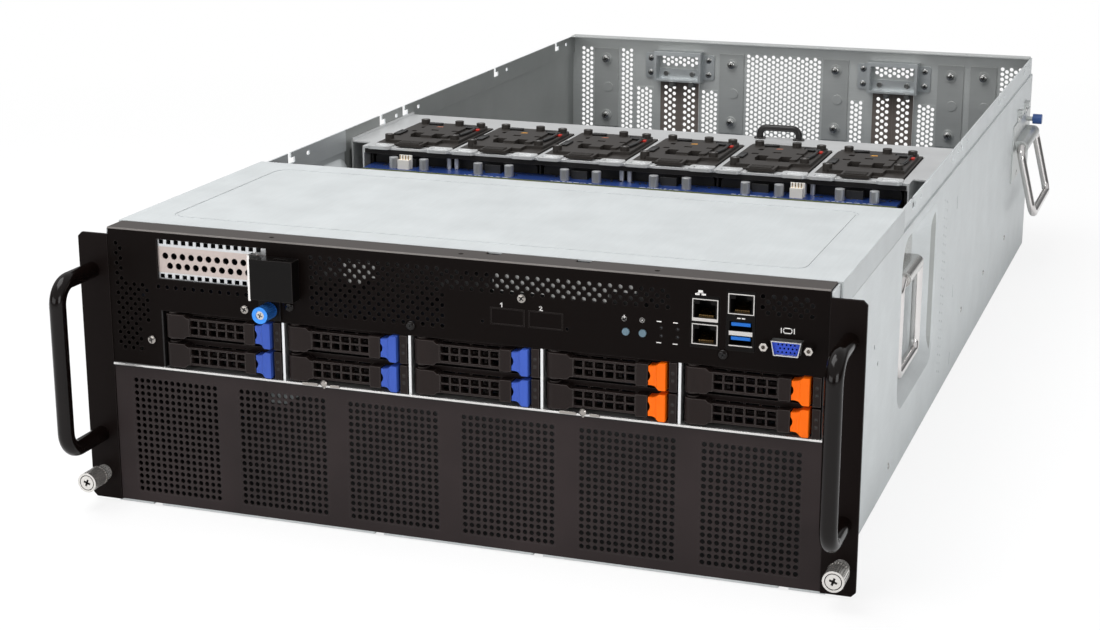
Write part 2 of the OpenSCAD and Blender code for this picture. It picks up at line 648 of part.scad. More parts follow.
module fan_module(i) place() translate([fan_x(i), fan_y, 0]) {
    color("#4a4643") fan_cap();
    color("#2a2827") fan_frame();
    color("#1d1c1c") for (z = fan_zs) translate([0, 0, z]) fan_rotor();
}
deck_a = [-fan_pitch * fan_count / 2 - 4, fan_y - 10];
deck_b = [fan_pitch * fan_count / 2 + 4, fan_y + fan_depth + 41];
handle_at = [83.5, fan_y + fan_depth + 34];
end_x = inner_x - 1.4;
module fan_deck() difference() {
    union() {
        block([deck_a.x, deck_a.y, deck_under], [deck_b.x, deck_b.y, deck_top]);
        block([deck_a.x, deck_a.y, deck_under - 4], [deck_b.x, deck_a.y + sheet, deck_top]);
        block([deck_a.x, deck_b.y - sheet, deck_under - 20], [deck_b.x, deck_b.y, deck_top]);
        // formed lips beside the finger tab of each module
        for (i = [0:fan_count - 1], s = [-1, 1]) translate([fan_x(i) + s * (fan_w / 2 - lip_w / 2), 0, deck_under])
            linear_extrude(deck_top - deck_under + lip_rise) difference() {
                rounded([-lip_w / 2 - 1.5, deck_a.y - 4], [lip_w / 2 + 1.5, fan_y - 0.6], 3.5);
                rounded([-lip_w / 2 + 1.5, deck_a.y - 1], [lip_w / 2 - 1.5, fan_y - 4], 1.5);
            }
    }
    for (i = [0:fan_count - 1]) translate([fan_x(i), 0, 0])
        block([-fan_w / 2 - 1, fan_y - 1, deck_under - 1], [fan_w / 2 + 1, fan_y + fan_depth + 1, deck_top + 4]);
}
// Sheet between two modules; the inner ones carry the fan board on a folded shelf
module fan_partition(x, shelf) {
    block([x - 0.6, fan_y - 1, base_t], [x + 0.6, fan_y + fan_depth + 4, deck_under]);
    if (shelf) {
        block([x - 0.6, fan_y - 22, board_z - 14], [x + 0.6, fan_y, board_z]);
        block([x - 0.6, fan_y - 22, board_z - sheet], [x + 8, fan_y - 4, board_z]);
    }
}
module cage_handle() translate([handle_at.x, handle_at.y, deck_top]) {
    for (x = [-15, 15]) translate([x, 0, 0]) cylinder(r = 2.5, h = 3.5);
    for (x = [-15, 15]) translate([x, 0, 0]) cylinder(r = 4.5, h = 1);
    rotate([0, 0, 90]) {
        translate([0, -10, 3.5]) rod_bend(2.5, 5, 90);
        translate([0, 10, 3.5]) rod_bend(2.5, 5, 0);
        translate([0, 0, 8.5]) rod_y(2.5, -10, 10);
    }
}
module fan_cage() place() {
    color("#d2d6d8") fan_deck();
    color("#b9bec0") for (i = [0:fan_count]) fan_partition((i - fan_count / 2) * fan_pitch, i > 0 && i < fan_count);
    // end plates, with a foot to the wall behind each side pocket
    color("#b9bec0") both_sides() {
        block([deck_b.x - sheet, deck_a.y, board_z - 30], [deck_b.x, deck_b.y, deck_top]);
        block([deck_b.x - sheet, pocket_b.x + 2, deck_under], [end_x, deck_b.y, deck_top]);
        block([end_x - sheet, pocket_b.x + 2, deck_under - 30], [end_x, deck_b.y, deck_top + 2]);
    }
    color("#181818") cage_handle();
}

// ---------- circuit boards ----------
module fan_board() translate([0, fan_y - 24, board_z]) union() {
    block([2 - fan_pitch * fan_count / 2, 0, 0], [fan_pitch * fan_count / 2 - 2, 22, board_t]);
    for (i = [0:fan_count - 1]) translate([fan_x(i), 0, 0]) {
        for (x = [-9.1, 15.1]) translate([x, 7, board_t]) cylinder(r = 3.4, h = 8);
        block([-6, 13, board_t], [6, 19, board_t + 6]);
    }
    for (x = [-172, 124]) block([x, 3, board_t], [x + 9, 8, board_t + 7]);
    // posts at every other gap between two modules
    for (k = [-2, 0, 2], s = [-3, 3]) translate([k * fan_pitch + s, 18.5, board_t])
        cylinder(r = 1.7, h = deck_under - board_z - board_t - 0.2);
}
module main_board() translate([0, 10, port_z - 10]) {
    block([-fit_x + 12, 0, 0], [fit_x - 2, 190, board_t]);
    for (x = [-180, 0, 180], y = [12, 110]) translate([x, y, bay_top + sheet - port_z + 10 + seat])
        cylinder(r = 3, h = port_z - 10 - bay_top - sheet - 2 * seat);
}
module drive_backplane() union() {
    block([bay_left + 2, tray_d + 4, bay_z0], [bay_right - 2, tray_d + 4 + board_t, bay_top]);
    for (c = [0:bay_cols - 1], r = [0, 1])
        translate([bay_left + (c + 0.5) * bay_pitch, tray_d + 4, bay_z0 + r * row_step + 6])
            block([-16, -7, 0], [16, 0.5, 5]);
}
slot_pitch = 40.6;
module card_board() translate([0, fan_y + fan_depth + 40, gpu_board_z]) {
    block([20 - hw, 0, 0], [hw - 20, chassis_d - fan_y - fan_depth - 56, board_t]);
    for (k = [-5:4]) translate([(k + 0.5) * slot_pitch, 60, board_t]) difference() {
        block([-3.8, 0, 0], [3.8, 90, 11]);
        block([-0.9, 2, 3], [0.9, 88, 12]);
    }
    for (x = [60 - hw, hw - 60], y = [30, 150, 280]) translate([x, y, base_t - gpu_board_z + seat])
        cylinder(r = 4, h = gpu_board_z - base_t - 2 * seat);
}
module circuit_boards() place() color("#12275a") {
    fan_board();
    main_board();
    drive_backplane();
    card_board();
}

// ---------- ports ----------
module jack(x, z) translate([x, 0, z]) union() {
    block([-5.9, panel_y - 2, -4.2], [5.9, 14, 3.4]);
    block([-3.2, panel_y - 2, 3], [3.2, 12, 5.6]);
}
module usb_slot(x, z) translate([x, 0, z]) difference() {
    block([-6.3, panel_y - 2, -2.6], [6.3, 12, 2.6]);
    block([-5.4, panel_y, 0], [5.4, 13, 1.9]);
}
port_base = port_z - 10 + board_t;
module port_shell(x, top) {
    block([x - 8, panel_y - 0.4, port_z - 4.8], [x + 8, 26, top]);
    block([x - 8, panel_y + sheet + 0.2, port_base], [x + 8, 26, top]);
}
module io_ports() place() {
    color("#b8bcc0") difference() {
        port_shell(jack_x[0], port_z + 24.3);
        jack(jack_x[0], jack_z[0]);
        jack(jack_x[0], jack_z[1]);
    }
    color("#b8bcc0") difference() {
        port_shell(jack_x[1], port_z + 28.8);
        jack(jack_x[1], jack_z[2]);
        for (z = [port_z + 1.2, port_z + 9.2]) usb_slot(jack_x[1], z);
    }
    color("#2f55b8") translate([hw - 25.4, 0, port_z]) {
        facing_front(panel_y - 5, sheet + 6) difference() {
            dsub_outline(16.9, 8.3);
            dsub_outline(15.7, 7.1);
        }
        facing_front(panel_y - 3.4, sheet + 4.4) difference() {
            dsub_outline(15.8, 7.2);
            for (r = [-1, 0, 1], k = [-2:2]) translate([k * 2.3 + (r == 0 ? 1.1 : 0), r * 2.1]) circle(0.5, $fn = 16);
        }
        block([-15.4, panel_y + sheet, -6.2], [15.4, 16, 6.2]);
        // jack posts
        for (x = [-12.5, 12.5]) translate([x, 0, 0]) difference() {
            union() {
                rod_y(2.5, panel_y - 5, panel_y, $fn = 6);
                rod_y(1.5, panel_y - 1, 12);
            }
            rod_y(1.1, panel_y - 6, panel_y + 2, $fn = 24);
        }
    }
    color("#202020") for (x = [power_x, id_x]) translate([x, 0, port_z]) difference() {
        block([-4.5, panel_y + 5, -8.4], [4.5, 16, 5]);
        rod_y(1.6, 0, 12);
    }
}
module push_button(x, tint) place() color(tint) translate([x, 0, port_z]) union() {
    rod_y(button_r, panel_y - 0.9, panel_y + sheet + 1);
    rod_y(button_r + 0.9, panel_y + sheet + 0.3, panel_y + sheet + 1.4);
    rod_y(1.5, panel_y + sheet, 9.6);
}

// ---------- slot covers ----------
module card_slot_cover() {
    tabs = floor((lp_b.x - lp_a.x) / 5);
    facing_front(panel_y + sheet + 0.2, 0.8) difference() {
        rect(lp_a + [-2, -1], lp_b + [2, 1]);
        for (i = [0:10]) translate([lp_a.x + 5 + i * 5.8, (lp_a.y + lp_b.y) / 2 + 2]) circle(2);
        for (i = [0:9]) translate([lp_a.x + 7.9 + i * 5.8, (lp_a.y + lp_b.y) / 2 - 4]) circle(2);
        for (i = [0:tabs - 1], z = [lp_a.y + 0.4, lp_b.y - 3]) rect([lp_a.x + 1 + i * 5, z], [lp_a.x + 4 + i * 5, z + 2.6]);
    }
}
module retainer_box() {
    difference() {
        block([blue_x - 8, -9, chassis_h - 34], [blue_x + 19.5, panel_y, chassis_h - 9.5]);
        block([blue_x - 6.8, -7.8, chassis_h - 32.8], [blue_x + 18.3, panel_y + 1, chassis_h - 10.7]);
        block([blue_x + 6, -6, chassis_h - 11], [blue_x + 14, -3, chassis_h - 9]);
    }
    difference() {
        block([blue_x - 7, panel_y - 1.2, blue_z - 6], [blue_x + 7, panel_y, chassis_h - 34]);
        translate([blue_x, 0, blue_z]) rod_y(2.1, -3, 3);
    }
}
module rear_slot_cover(x) facing_front(rear_y - 1.2, 0.9) difference() {
    rect([x - window_w / 4 + 0.05, window_z[0] - 1], [x + window_w / 4 - 0.05, window_z[1] + 1]);
    staggered([x - 4.2, window_z[1] - 5], 3, 15, [4.2, 6], 1.8);
}
// Folded frame over the rear slots: open at the front and back, with a screw lug on each side
module clamp_frame(x) translate([x, 0, window_z[1]]) difference() {
    union() {
        block([-23.5, rear_y - 12, 2], [23.5, rear_y, 31]);
        for (s = [-1, 1]) translate([s * 27, 0, 0]) facing_front(rear_y - 1.6, 1.6) rounded([-7.5, 4], [7.5, 28], 2);
    }
    block([-21, rear_y - 13, 13.5], [21, rear_y + 1, 27]);
    block([-21, rear_y - 13, 4], [21, rear_y - 2.5, 14]);
    for (s = [-1, 1], z = [9, 23]) translate([s * 29, 0, z]) rod_y(1.5, rear_y - 4, rear_y - 0.4);
}
module slot_covers() place() {
    color("#aeb4b8") card_slot_cover();
    color("#e0e0e0") block([blue_x - 9.6, -8.4, chassis_h - 35], [blue_x - 8.1, panel_y, chassis_h - 7.5]);
    color("#1a1514") retainer_box();
    color("#3a3230") for (x = windows_x, s = [-1, 1]) rear_slot_cover(x + s * window_w / 4);
    color("#9aa2a6") for (x = windows_x) clamp_frame(x);
}

// ---------- power supplies ----------
inlet_w = 22;
psu_fan_x = (psu_w - inlet_w - 7.5) / 2;
psu_fan_r = min(15, psu_fan_x - 1);
module power_supply(i) place() color("#9a9ea0") translate([psu_x[i], 0, psu_z]) union() {
    right = psu_w - 5.5;                        // right edge of the inlet
    difference() {
        block([0, wall_y - psu_d, 0], [psu_w, wall_y + 1, psu_h]);
        translate([psu_fan_x, 0, psu_h / 2]) rod_y(psu_fan_r, wall_y - 2, wall_y + 2);
        block([right - inlet_w, wall_y - 16, 6], [right, wall_y + 2, 22]);
    }
    translate([psu_fan_x, 0, psu_h / 2]) {
        for (r = [psu_fan_r / 3, psu_fan_r * 2 / 3]) difference() {
            rod_y(r + 0.7, wall_y - 1.2, wall_y + 0.6);
            rod_y(r, wall_y - 2, wall_y + 2);
        }
        for (a = [0, 90]) rotate([0, a, 0])
            block([-psu_fan_r - 0.5, wall_y - 1.4, -0.6], [psu_fan_r + 0.5, wall_y, 0.6]);
        rod_y(3, wall_y - 3, wall_y);
    }
    for (k = [-1, 0, 1]) translate([right - inlet_w / 2 + k * 5, 0, 13 + (k == 0 ? 3 : 0)])
        block([-0.8, wall_y - 17, -2.5], [0.8, wall_y - 6, 2.5]);
    // pull bow and release tab
    for (x = [psu_w - 30.5, psu_w - 3.1]) block([x, wall_y, 27], [x + 2.6, wall_y + psu_pull, 33]);
    block([psu_w - 30.5, wall_y + psu_pull - 3, 27], [psu_w - 0.5, wall_y + psu_pull, 33]);
    block([psu_w - 21.5, wall_y, 23.4], [psu_w - 11.5, wall_y + 9, 25.4]);
}

// ---------- folding side handles ----------
// The bar is drawn hanging from an axis along Y through the origin
module bail(w, drop, lean) color("#d8d4d2") rotate([0, -lean, 0]) {
    r = bail_rod / 2;
    bend = 8;
    half = w / 2 - r;
    straight = half - bend;
    for (z = [0, -drop]) translate([0, 0, z]) rod_y(r, -straight, straight);
    for (y = [-half, half]) translate([0, y, bend - drop]) cylinder(r = r, h = drop - 2 * bend);
    translate([0, straight, -bend]) rod_bend(r, bend, 0);
    translate([0, -straight, -bend]) rod_bend(r, bend, 90);
    translate([0, -straight, bend - drop]) rod_bend(r, bend, 180);
    translate([0, straight, bend - drop]) rod_bend(r, bend, 270);
}
// Mounting plate with a rolled knuckle around the same axis; plate is how far it reaches up and down
module knuckle_plate(w, up, down) difference() {
    union() {
        block([-knuckle_r - sheet, -w / 2, -down], [-knuckle_r, w / 2, up]);
        rod_y(knuckle_r, -w / 2 + 14, w / 2 - 14);
        block([-knuckle_r - 0.5, -w / 2 + 14, 0], [0, w / 2 - 14, knuckle_r]);
    }
    rod_y(bail_rod / 2 + bail_gap, -w, w);
}
module handle_brackets() place() both_sides() {
    color("#8d9498") translate([side_bail_x, side_bail_y, side_bail_z]) union() {
        knuckle_plate(bail_w, 20, 30);
        for (y = [-30, 18]) block([-knuckle_r - sheet, y, 19], [-knuckle_r, y + 12, 30]);
        for (y = [-30, 18]) block([-knuckle_r - sheet, y, 26], [-knuckle_r + 3, y + 12, 30]);
    }
    color("#3558b8") translate([side_bail_x - knuckle_r, side_bail_y + 38, side_bail_z + 12]) rotate([0, 0, -90]) {
        rod_y(4.5, 5, 13);
        rod_y(2, 0, 5);
    }
    color("#d8d4d2") translate([pocket_bail_x, pocket_bail_y, pocket_bail_z]) knuckle_plate(pocket_bail_w, 16, 8);
}
module rear_handle() place() translate([side_bail_x, side_bail_y, side_bail_z])
    bail(bail_w, bail_drop, side_bail_lean);
module pocket_handle() place() translate([pocket_bail_x, pocket_bail_y, pocket_bail_z])
    bail(pocket_bail_w, pocket_bail_drop, 0);

chassis_shell();
rear_wall();
front_cover();
upper_front_panel();
lower_front_panel();
rack_ears();
front_handles();
drive_cage();
fan_cage();
circuit_boards();
io_ports();
slot_covers();
handle_brackets();
for (i = [0:len(carrier_names) - 1]) {
    name = carrier_names[i];
    tray_place(i) tray_carrier();
    tray_place(i) tray_lever();
    tray_place(i) tray_latch(i < 6 ? "#3f5db8" : "#ee6f12");
}
for (i = [0:fan_count - 1])
    fan_module(i);
power_supply(0);  // power_supply_left
power_supply(1);  // power_supply_right
place() translate([-rack_screw_x, 0, rack_screw_z]) rack_screw();  // rack_screw_left
place() translate([rack_screw_x, 0, rack_screw_z]) rack_screw();  // rack_screw_right
retainer_screw();
push_button(power_x, "#6f8796");  // power_button
push_button(id_x, "#6f8796");  // id_button
mirror([1, 0, 0]) rear_handle();  // rear_handle_left
rear_handle();  // rear_handle_right
mirror([1, 0, 0]) pocket_handle();  // pocket_handle_left
pocket_handle();  // pocket_handle_right
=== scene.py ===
"""Finishes, small hardware and studio for a 4U rack server with lift-out fans and drive trays."""

import math
import random

import bmesh
import bpy
from mathutils import Matrix, Vector


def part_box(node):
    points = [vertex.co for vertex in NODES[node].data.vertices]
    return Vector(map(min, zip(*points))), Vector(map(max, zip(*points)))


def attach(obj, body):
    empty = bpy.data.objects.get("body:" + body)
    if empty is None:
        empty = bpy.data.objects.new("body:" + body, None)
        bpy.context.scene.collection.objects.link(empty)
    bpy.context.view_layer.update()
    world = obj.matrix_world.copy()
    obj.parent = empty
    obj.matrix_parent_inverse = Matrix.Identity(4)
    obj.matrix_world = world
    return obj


bl_info = {
    "name": "Rack Server Finisher",
    "version": (1, 0, 0),
    "blender": (4, 5, 0),
    "location": "View3D > Sidebar > Server",
    "description": "Gives a packed 4U server its finishes, small hardware and studio",
    "category": "Object",
}

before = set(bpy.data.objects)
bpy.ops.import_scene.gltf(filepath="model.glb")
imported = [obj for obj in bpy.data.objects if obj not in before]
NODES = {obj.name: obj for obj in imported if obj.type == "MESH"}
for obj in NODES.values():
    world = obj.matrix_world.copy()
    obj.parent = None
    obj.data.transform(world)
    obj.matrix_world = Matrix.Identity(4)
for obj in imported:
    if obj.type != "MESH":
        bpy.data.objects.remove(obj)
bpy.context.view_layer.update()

MM = 0.001
EAR_FACE_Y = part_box("front_handles")[0].y + 45 * MM  # front face of the rack ears
HALF_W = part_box("front_cover")[1].x / MM
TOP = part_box("front_cover")[1].z / MM
REAR = (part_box("rear_wall")[1].y - EAR_FACE_Y) / MM
TRAYS = sorted(n for n in NODES if n.startswith("tray_") and n.count("_") == 2)
FANS = sorted(n for n in NODES if n.startswith("fan_module_"))


def at(x, y, z):
    """A point given in millimetres, with y counted from the ears' front face."""
    return Vector((x * MM, y * MM + EAR_FACE_Y, z * MM))


# ---------------------------------------------------------------- shader kit


class Value:
    """A socket that takes part in arithmetic, adding Math nodes as it goes."""

    def __init__(self, tree, socket):
        self.tree = tree
        self.socket = socket

    def maths(self, operation, *operands):
        return self.tree.node("ShaderNodeMath", {"operation": operation}, dict(enumerate(operands)))

    def __add__(self, other):
        return self.maths("ADD", self, other)

    def __radd__(self, other):
        return self.maths("ADD", other, self)

    def __sub__(self, other):
        return self.maths("SUBTRACT", self, other)

    def __rsub__(self, other):
        return self.maths("SUBTRACT", other, self)

    def __mul__(self, other):
        return self.maths("MULTIPLY", self, other)

    def __rmul__(self, other):
        return self.maths("MULTIPLY", other, self)

    def __truediv__(self, other):
        return self.maths("DIVIDE", self, other)

    def __rtruediv__(self, other):
        return self.maths("DIVIDE", other, self)

    def __mod__(self, other):
        return self.maths("FLOORED_MODULO", self, other)

    def __gt__(self, other):
        return self.maths("GREATER_THAN", self, other)

    def __lt__(self, other):
        return self.maths("LESS_THAN", self, other)

    def __abs__(self):
        return self.maths("ABSOLUTE", self)

    def within(self, low, high):
        """1 where the value lies between low and high, else 0."""
        return (self > low) * (self < high)

    def near(self, centre, reach):
        return abs(self - centre) < reach


class Tree:
    """A node tree with a single way to add nodes."""

    def __init__(self, tree):
        self.tree = tree

    def node(self, kind, settings=None, sockets=None, output=0):
        """Adds a node: settings first, then values or links of its sockets."""
        made = self.tree.nodes.new(kind)
        for key, value in (settings or {}).items():
            if key == "stops":
                ramp = made.color_ramp
                while len(ramp.elements) < len(value):
                    ramp.elements.new(0.5)
                for element, (position, colour) in zip(ramp.elements, value):
                    element.position = position
                    element.color = (*colour, 1)
            else:
                setattr(made, key, value)
        for key, value in (sockets or {}).items():
            socket = made.inputs[key]
            if isinstance(value, Value):
                self.tree.links.new(value.socket, socket)
            elif isinstance(value, tuple) and len(value) == 3 and socket.type == "RGBA":
                socket.default_value = (*value, 1)
            else:
                socket.default_value = value
        return Value(self, made.outputs[output])

    def blend(self, mask, below, above, how="MIX"):
        """Colour below where the mask is 0 and above, or its effect, where it is 1."""
        settings = {"data_type": "RGBA", "blend_type": how}
        return self.node("ShaderNodeMix", settings, {0: mask, 6: below, 7: above}, 2)

    def link(self, value, socket):
        self.tree.links.new(value.socket, socket)


class Finish(Tree):
    """A material with one Principled shader."""

    def __init__(self, name, **constants):
        self.material = bpy.data.materials.new(name)
        self.material.use_nodes = True
        super().__init__(self.material.node_tree)
        self.shader = next(n for n in self.tree.nodes if n.type == "BSDF_PRINCIPLED")
        for key, value in constants.items():
            socket = self.shader.inputs[key.replace("_", " ").title().replace("Ior", "IOR")]
            socket.default_value = (*value, 1) if isinstance(value, tuple) and len(value) == 3 else value

    def feed(self, socket, value):
        self.link(value, self.shader.inputs[socket])

    def point(self, scale=(1, 1, 1)):
        """The row-frame point, stretched by scale."""
        raw = self.node("ShaderNodeTexCoord", output="Object")
        return self.node("ShaderNodeVectorMath", {"operation": "MULTIPLY"}, {0: raw, 1: scale})

    def place(self):
        """x, y and z in millimetres, y from the ears' front face."""
        point = self.point()
        axes = [self.node("ShaderNodeSeparateXYZ", None, {0: point}, i) for i in range(3)]
        return axes[0] / MM, (axes[1] - EAR_FACE_Y) / MM, axes[2] / MM

    def noise(self, size_mm, stretch=(1, 1, 1), detail=3.0):
        """Noise whose features are about size_mm across, longer where stretch is small."""
        return self.node(
            "ShaderNodeTexNoise",
            None,
            {"Vector": self.point(stretch), "Scale": 1 / (size_mm * MM), "Detail": detail},
            "Fac",
        )

    def lay(self, place, tone, roughness, metallic, patches):
        """Lays patches, each (mask of x, y, z; colour; roughness; metallic), over a base."""
        for inside, colour, rough, metal in patches:
            mask = inside(*place)
            tone = self.blend(mask, tone, colour)
            roughness = roughness * (1 - mask) + mask * rough
            metallic = metallic * (1 - mask) + mask * metal
        return tone, roughness, metallic

    def ramp(self, value, *stops):
        return self.node("ShaderNodeValToRGB", {"stops": stops}, {0: value})

    def painted_edge_highlight(self, tone, edge_mm, lift):
        """Painted highlight: lightens tone along sharp edges, in place of the light that rounded edges
        catch.
        """
        soft = self.node("ShaderNodeBevel", {"samples": 4}, {"Radius": edge_mm * MM})
        flat = self.node("ShaderNodeNewGeometry", output="Normal")
        facing = self.node("ShaderNodeVectorMath", {"operation": "DOT_PRODUCT"}, {0: soft, 1: flat}, "Value")
        sharpness = {0: 1 - facing, 1: 5.0}
        edge = self.node("ShaderNodeMath", {"operation": "MULTIPLY", "use_clamp": True}, sharpness)
        return self.blend(edge, tone, (lift, lift * 0.9, lift * 0.86), "ADD")

    def bump(self, height, depth_mm, edge_mm=0.0, strength=1.0):
        """Feeds Normal with a bump; edge_mm softens the solid's sharp edges."""
        sockets = {"Height": height, "Distance": depth_mm * MM, "Strength": strength}
        if edge_mm:
            sockets["Normal"] = self.node("ShaderNodeBevel", {"samples": 4}, {"Radius": edge_mm * MM})
        self.feed("Normal", self.node("ShaderNodeBump", None, sockets))


def tinted(colour, factor):
    return tuple(min(1.0, c * factor) for c in colour)


def steel(name, colour, roughness=0.4, metallic=0.85, stretch=(1, 0.06, 1), edge_mm=0.25):
    """Rolled sheet steel: a faint grain along the rolling direction and soft zinc clouding."""
    finish = Finish(name, metallic=metallic)
    cloud = finish.noise(38, detail=4)
    grain = finish.noise(1.4, stretch, 2)
    finish.feed(
        "Base Color",
        finish.ramp(cloud * 0.7 + grain * 0.3, (0.3, tinted(colour, 0.93)), (0.7, tinted(colour, 1.04))),
    )
    finish.feed("Roughness", roughness - 0.05 + cloud * 0.06 + grain * 0.07)
    finish.bump(grain, 0.004, edge_mm)
    return finish


def powder_coat(name, colour, roughness=0.42, edge_mm=0.3, gloss=0.06, lift=0.02):
    """Black powder coat: fine orange peel, with a painted highlight along folded edges."""
    finish = Finish(name, metallic=0.0, specular_ior_level=gloss)
    peel = finish.noise(0.9, detail=2)
    dust = finish.noise(55, detail=5)
    tone = finish.ramp(dust, (0.3, tinted(colour, 0.82)), (0.72, tinted(colour, 1.25)))
    finish.feed("Base Color", finish.painted_edge_highlight(tone, 0.5, lift))
    finish.feed("Roughness", roughness - 0.06 + peel * 0.08 + dust * 0.06)
    finish.bump(peel, 0.03, edge_mm, 0.5)
    return finish


def either(*masks):
    """1 where any of the masks is 1."""
    total = masks[0]
    for mask in masks[1:]:
        total = total.maths("MAXIMUM", total, mask)
    return total


def patched(
    name, base, *patches, grain_mm=1.4, stretch=(1, 1, 1), depth_mm=0.004, edge_mm=0.2, gloss=0.3, lift=0.0
):
    """One finish for a body of several materials, told apart by where they are.

    base is (colour, roughness, metallic); each patch is (mask, colour, roughness, metallic),
    where mask takes x, y and z in millimetres and later patches lie over earlier ones.
    """
    finish = Finish(name, specular_ior_level=gloss)
    cloud, grain = finish.noise(30, detail=4), finish.noise(grain_mm, stretch, 2)
    tone, roughness, metallic = finish.lay(finish.place(), *base, patches)
    shade = finish.ramp(cloud * 0.7 + grain * 0.3, (0.3, (0.88, 0.88, 0.88)), (0.7, (1, 1, 1)))
    tone = finish.blend(1.0, tone, shade, "MULTIPLY")
    # lift paints a highlight along sharp edges
    finish.feed("Base Color", finish.painted_edge_highlight(tone, 0.5, lift) if lift else tone)
    finish.feed("Roughness", roughness - 0.05 + cloud * 0.06 + grain * 0.06)
    finish.feed("Metallic", metallic)
    finish.bump(grain, depth_mm, edge_mm)
    return finish


def moulded(name, colour, roughness=0.4, texture_mm=0.35, edge_mm=0.25, gloss=0.3, lift=0.0):
    """Moulded plastic with a fine spark-eroded texture and slight flow marks."""
    finish = Finish(name, metallic=0.0, specular_ior_level=gloss)
    flow = finish.noise(16, (1, 1, 0.4), 3)
    spark = finish.noise(texture_mm, detail=1)
    tone = finish.ramp(flow, (0.32, tinted(colour, 0.88)), (0.7, tinted(colour, 1.1)))
    # lift paints a highlight along sharp edges
    finish.feed("Base Color", finish.painted_edge_highlight(tone, 0.6, lift) if lift else tone)
    finish.feed("Roughness", roughness - 0.04 + flow * 0.05 + spark * 0.08)
    finish.bump(spark, 0.02, edge_mm, 0.4)
    return finish


def polished(name, colour, roughness=0.08):
    """Plated metal with hairline polishing marks and light smears."""
    finish = Finish(name, metallic=1.0)
    smear = finish.noise(14, (1, 0.3, 1), 4)
    finish.feed(
        "Base Color",
        finish.ramp(smear, (0.3, tinted(colour, 0.94)), (0.7, tinted(colour, 1.03))),
    )
    finish.feed("Roughness", roughness + smear * 0.07)
    finish.bump(finish.noise(0.6, (0.1, 1, 1), 2), 0.003)
    return finish


def solder_mask(name, colour, *patches):
    """Circuit board: glossy mask with tracks, pads and drilled vias; patches as in patched."""
    finish = Finish(name)
    x, y, z = place = finish.place()
    bend = finish.noise(24, detail=1)
    lane = (x + y * 0.35 + bend * 9) / 1.6 % 1
    bus = finish.noise(30, (1, 0.5, 1), 1).within(0.47, 0.62)
    track = lane.within(0.28, 0.62) * bus
    via_x = abs(x / 4.3 % 1 - 0.5)
    via_y = abs(y / 5.1 % 1 - 0.5)
    via = (via_x * via_x + via_y * via_y < 0.012) * (finish.noise(21, detail=0) > 0.52)
    tone = finish.blend(track, colour, tinted(colour, 1.6))
    tone = finish.blend(via, tone, (0.50, 0.44, 0.28))
    tone, roughness, metallic = finish.lay(place, tone, 0.36 + track * 0.06, via * 0.9, patches)
    finish.feed("Base Color", tone)
    finish.feed("Roughness", roughness)
    finish.feed("Metallic", metallic)
    finish.bump(track, 0.03, 0.15)
    return finish


# ---------------------------------------------------------------- mesh kit


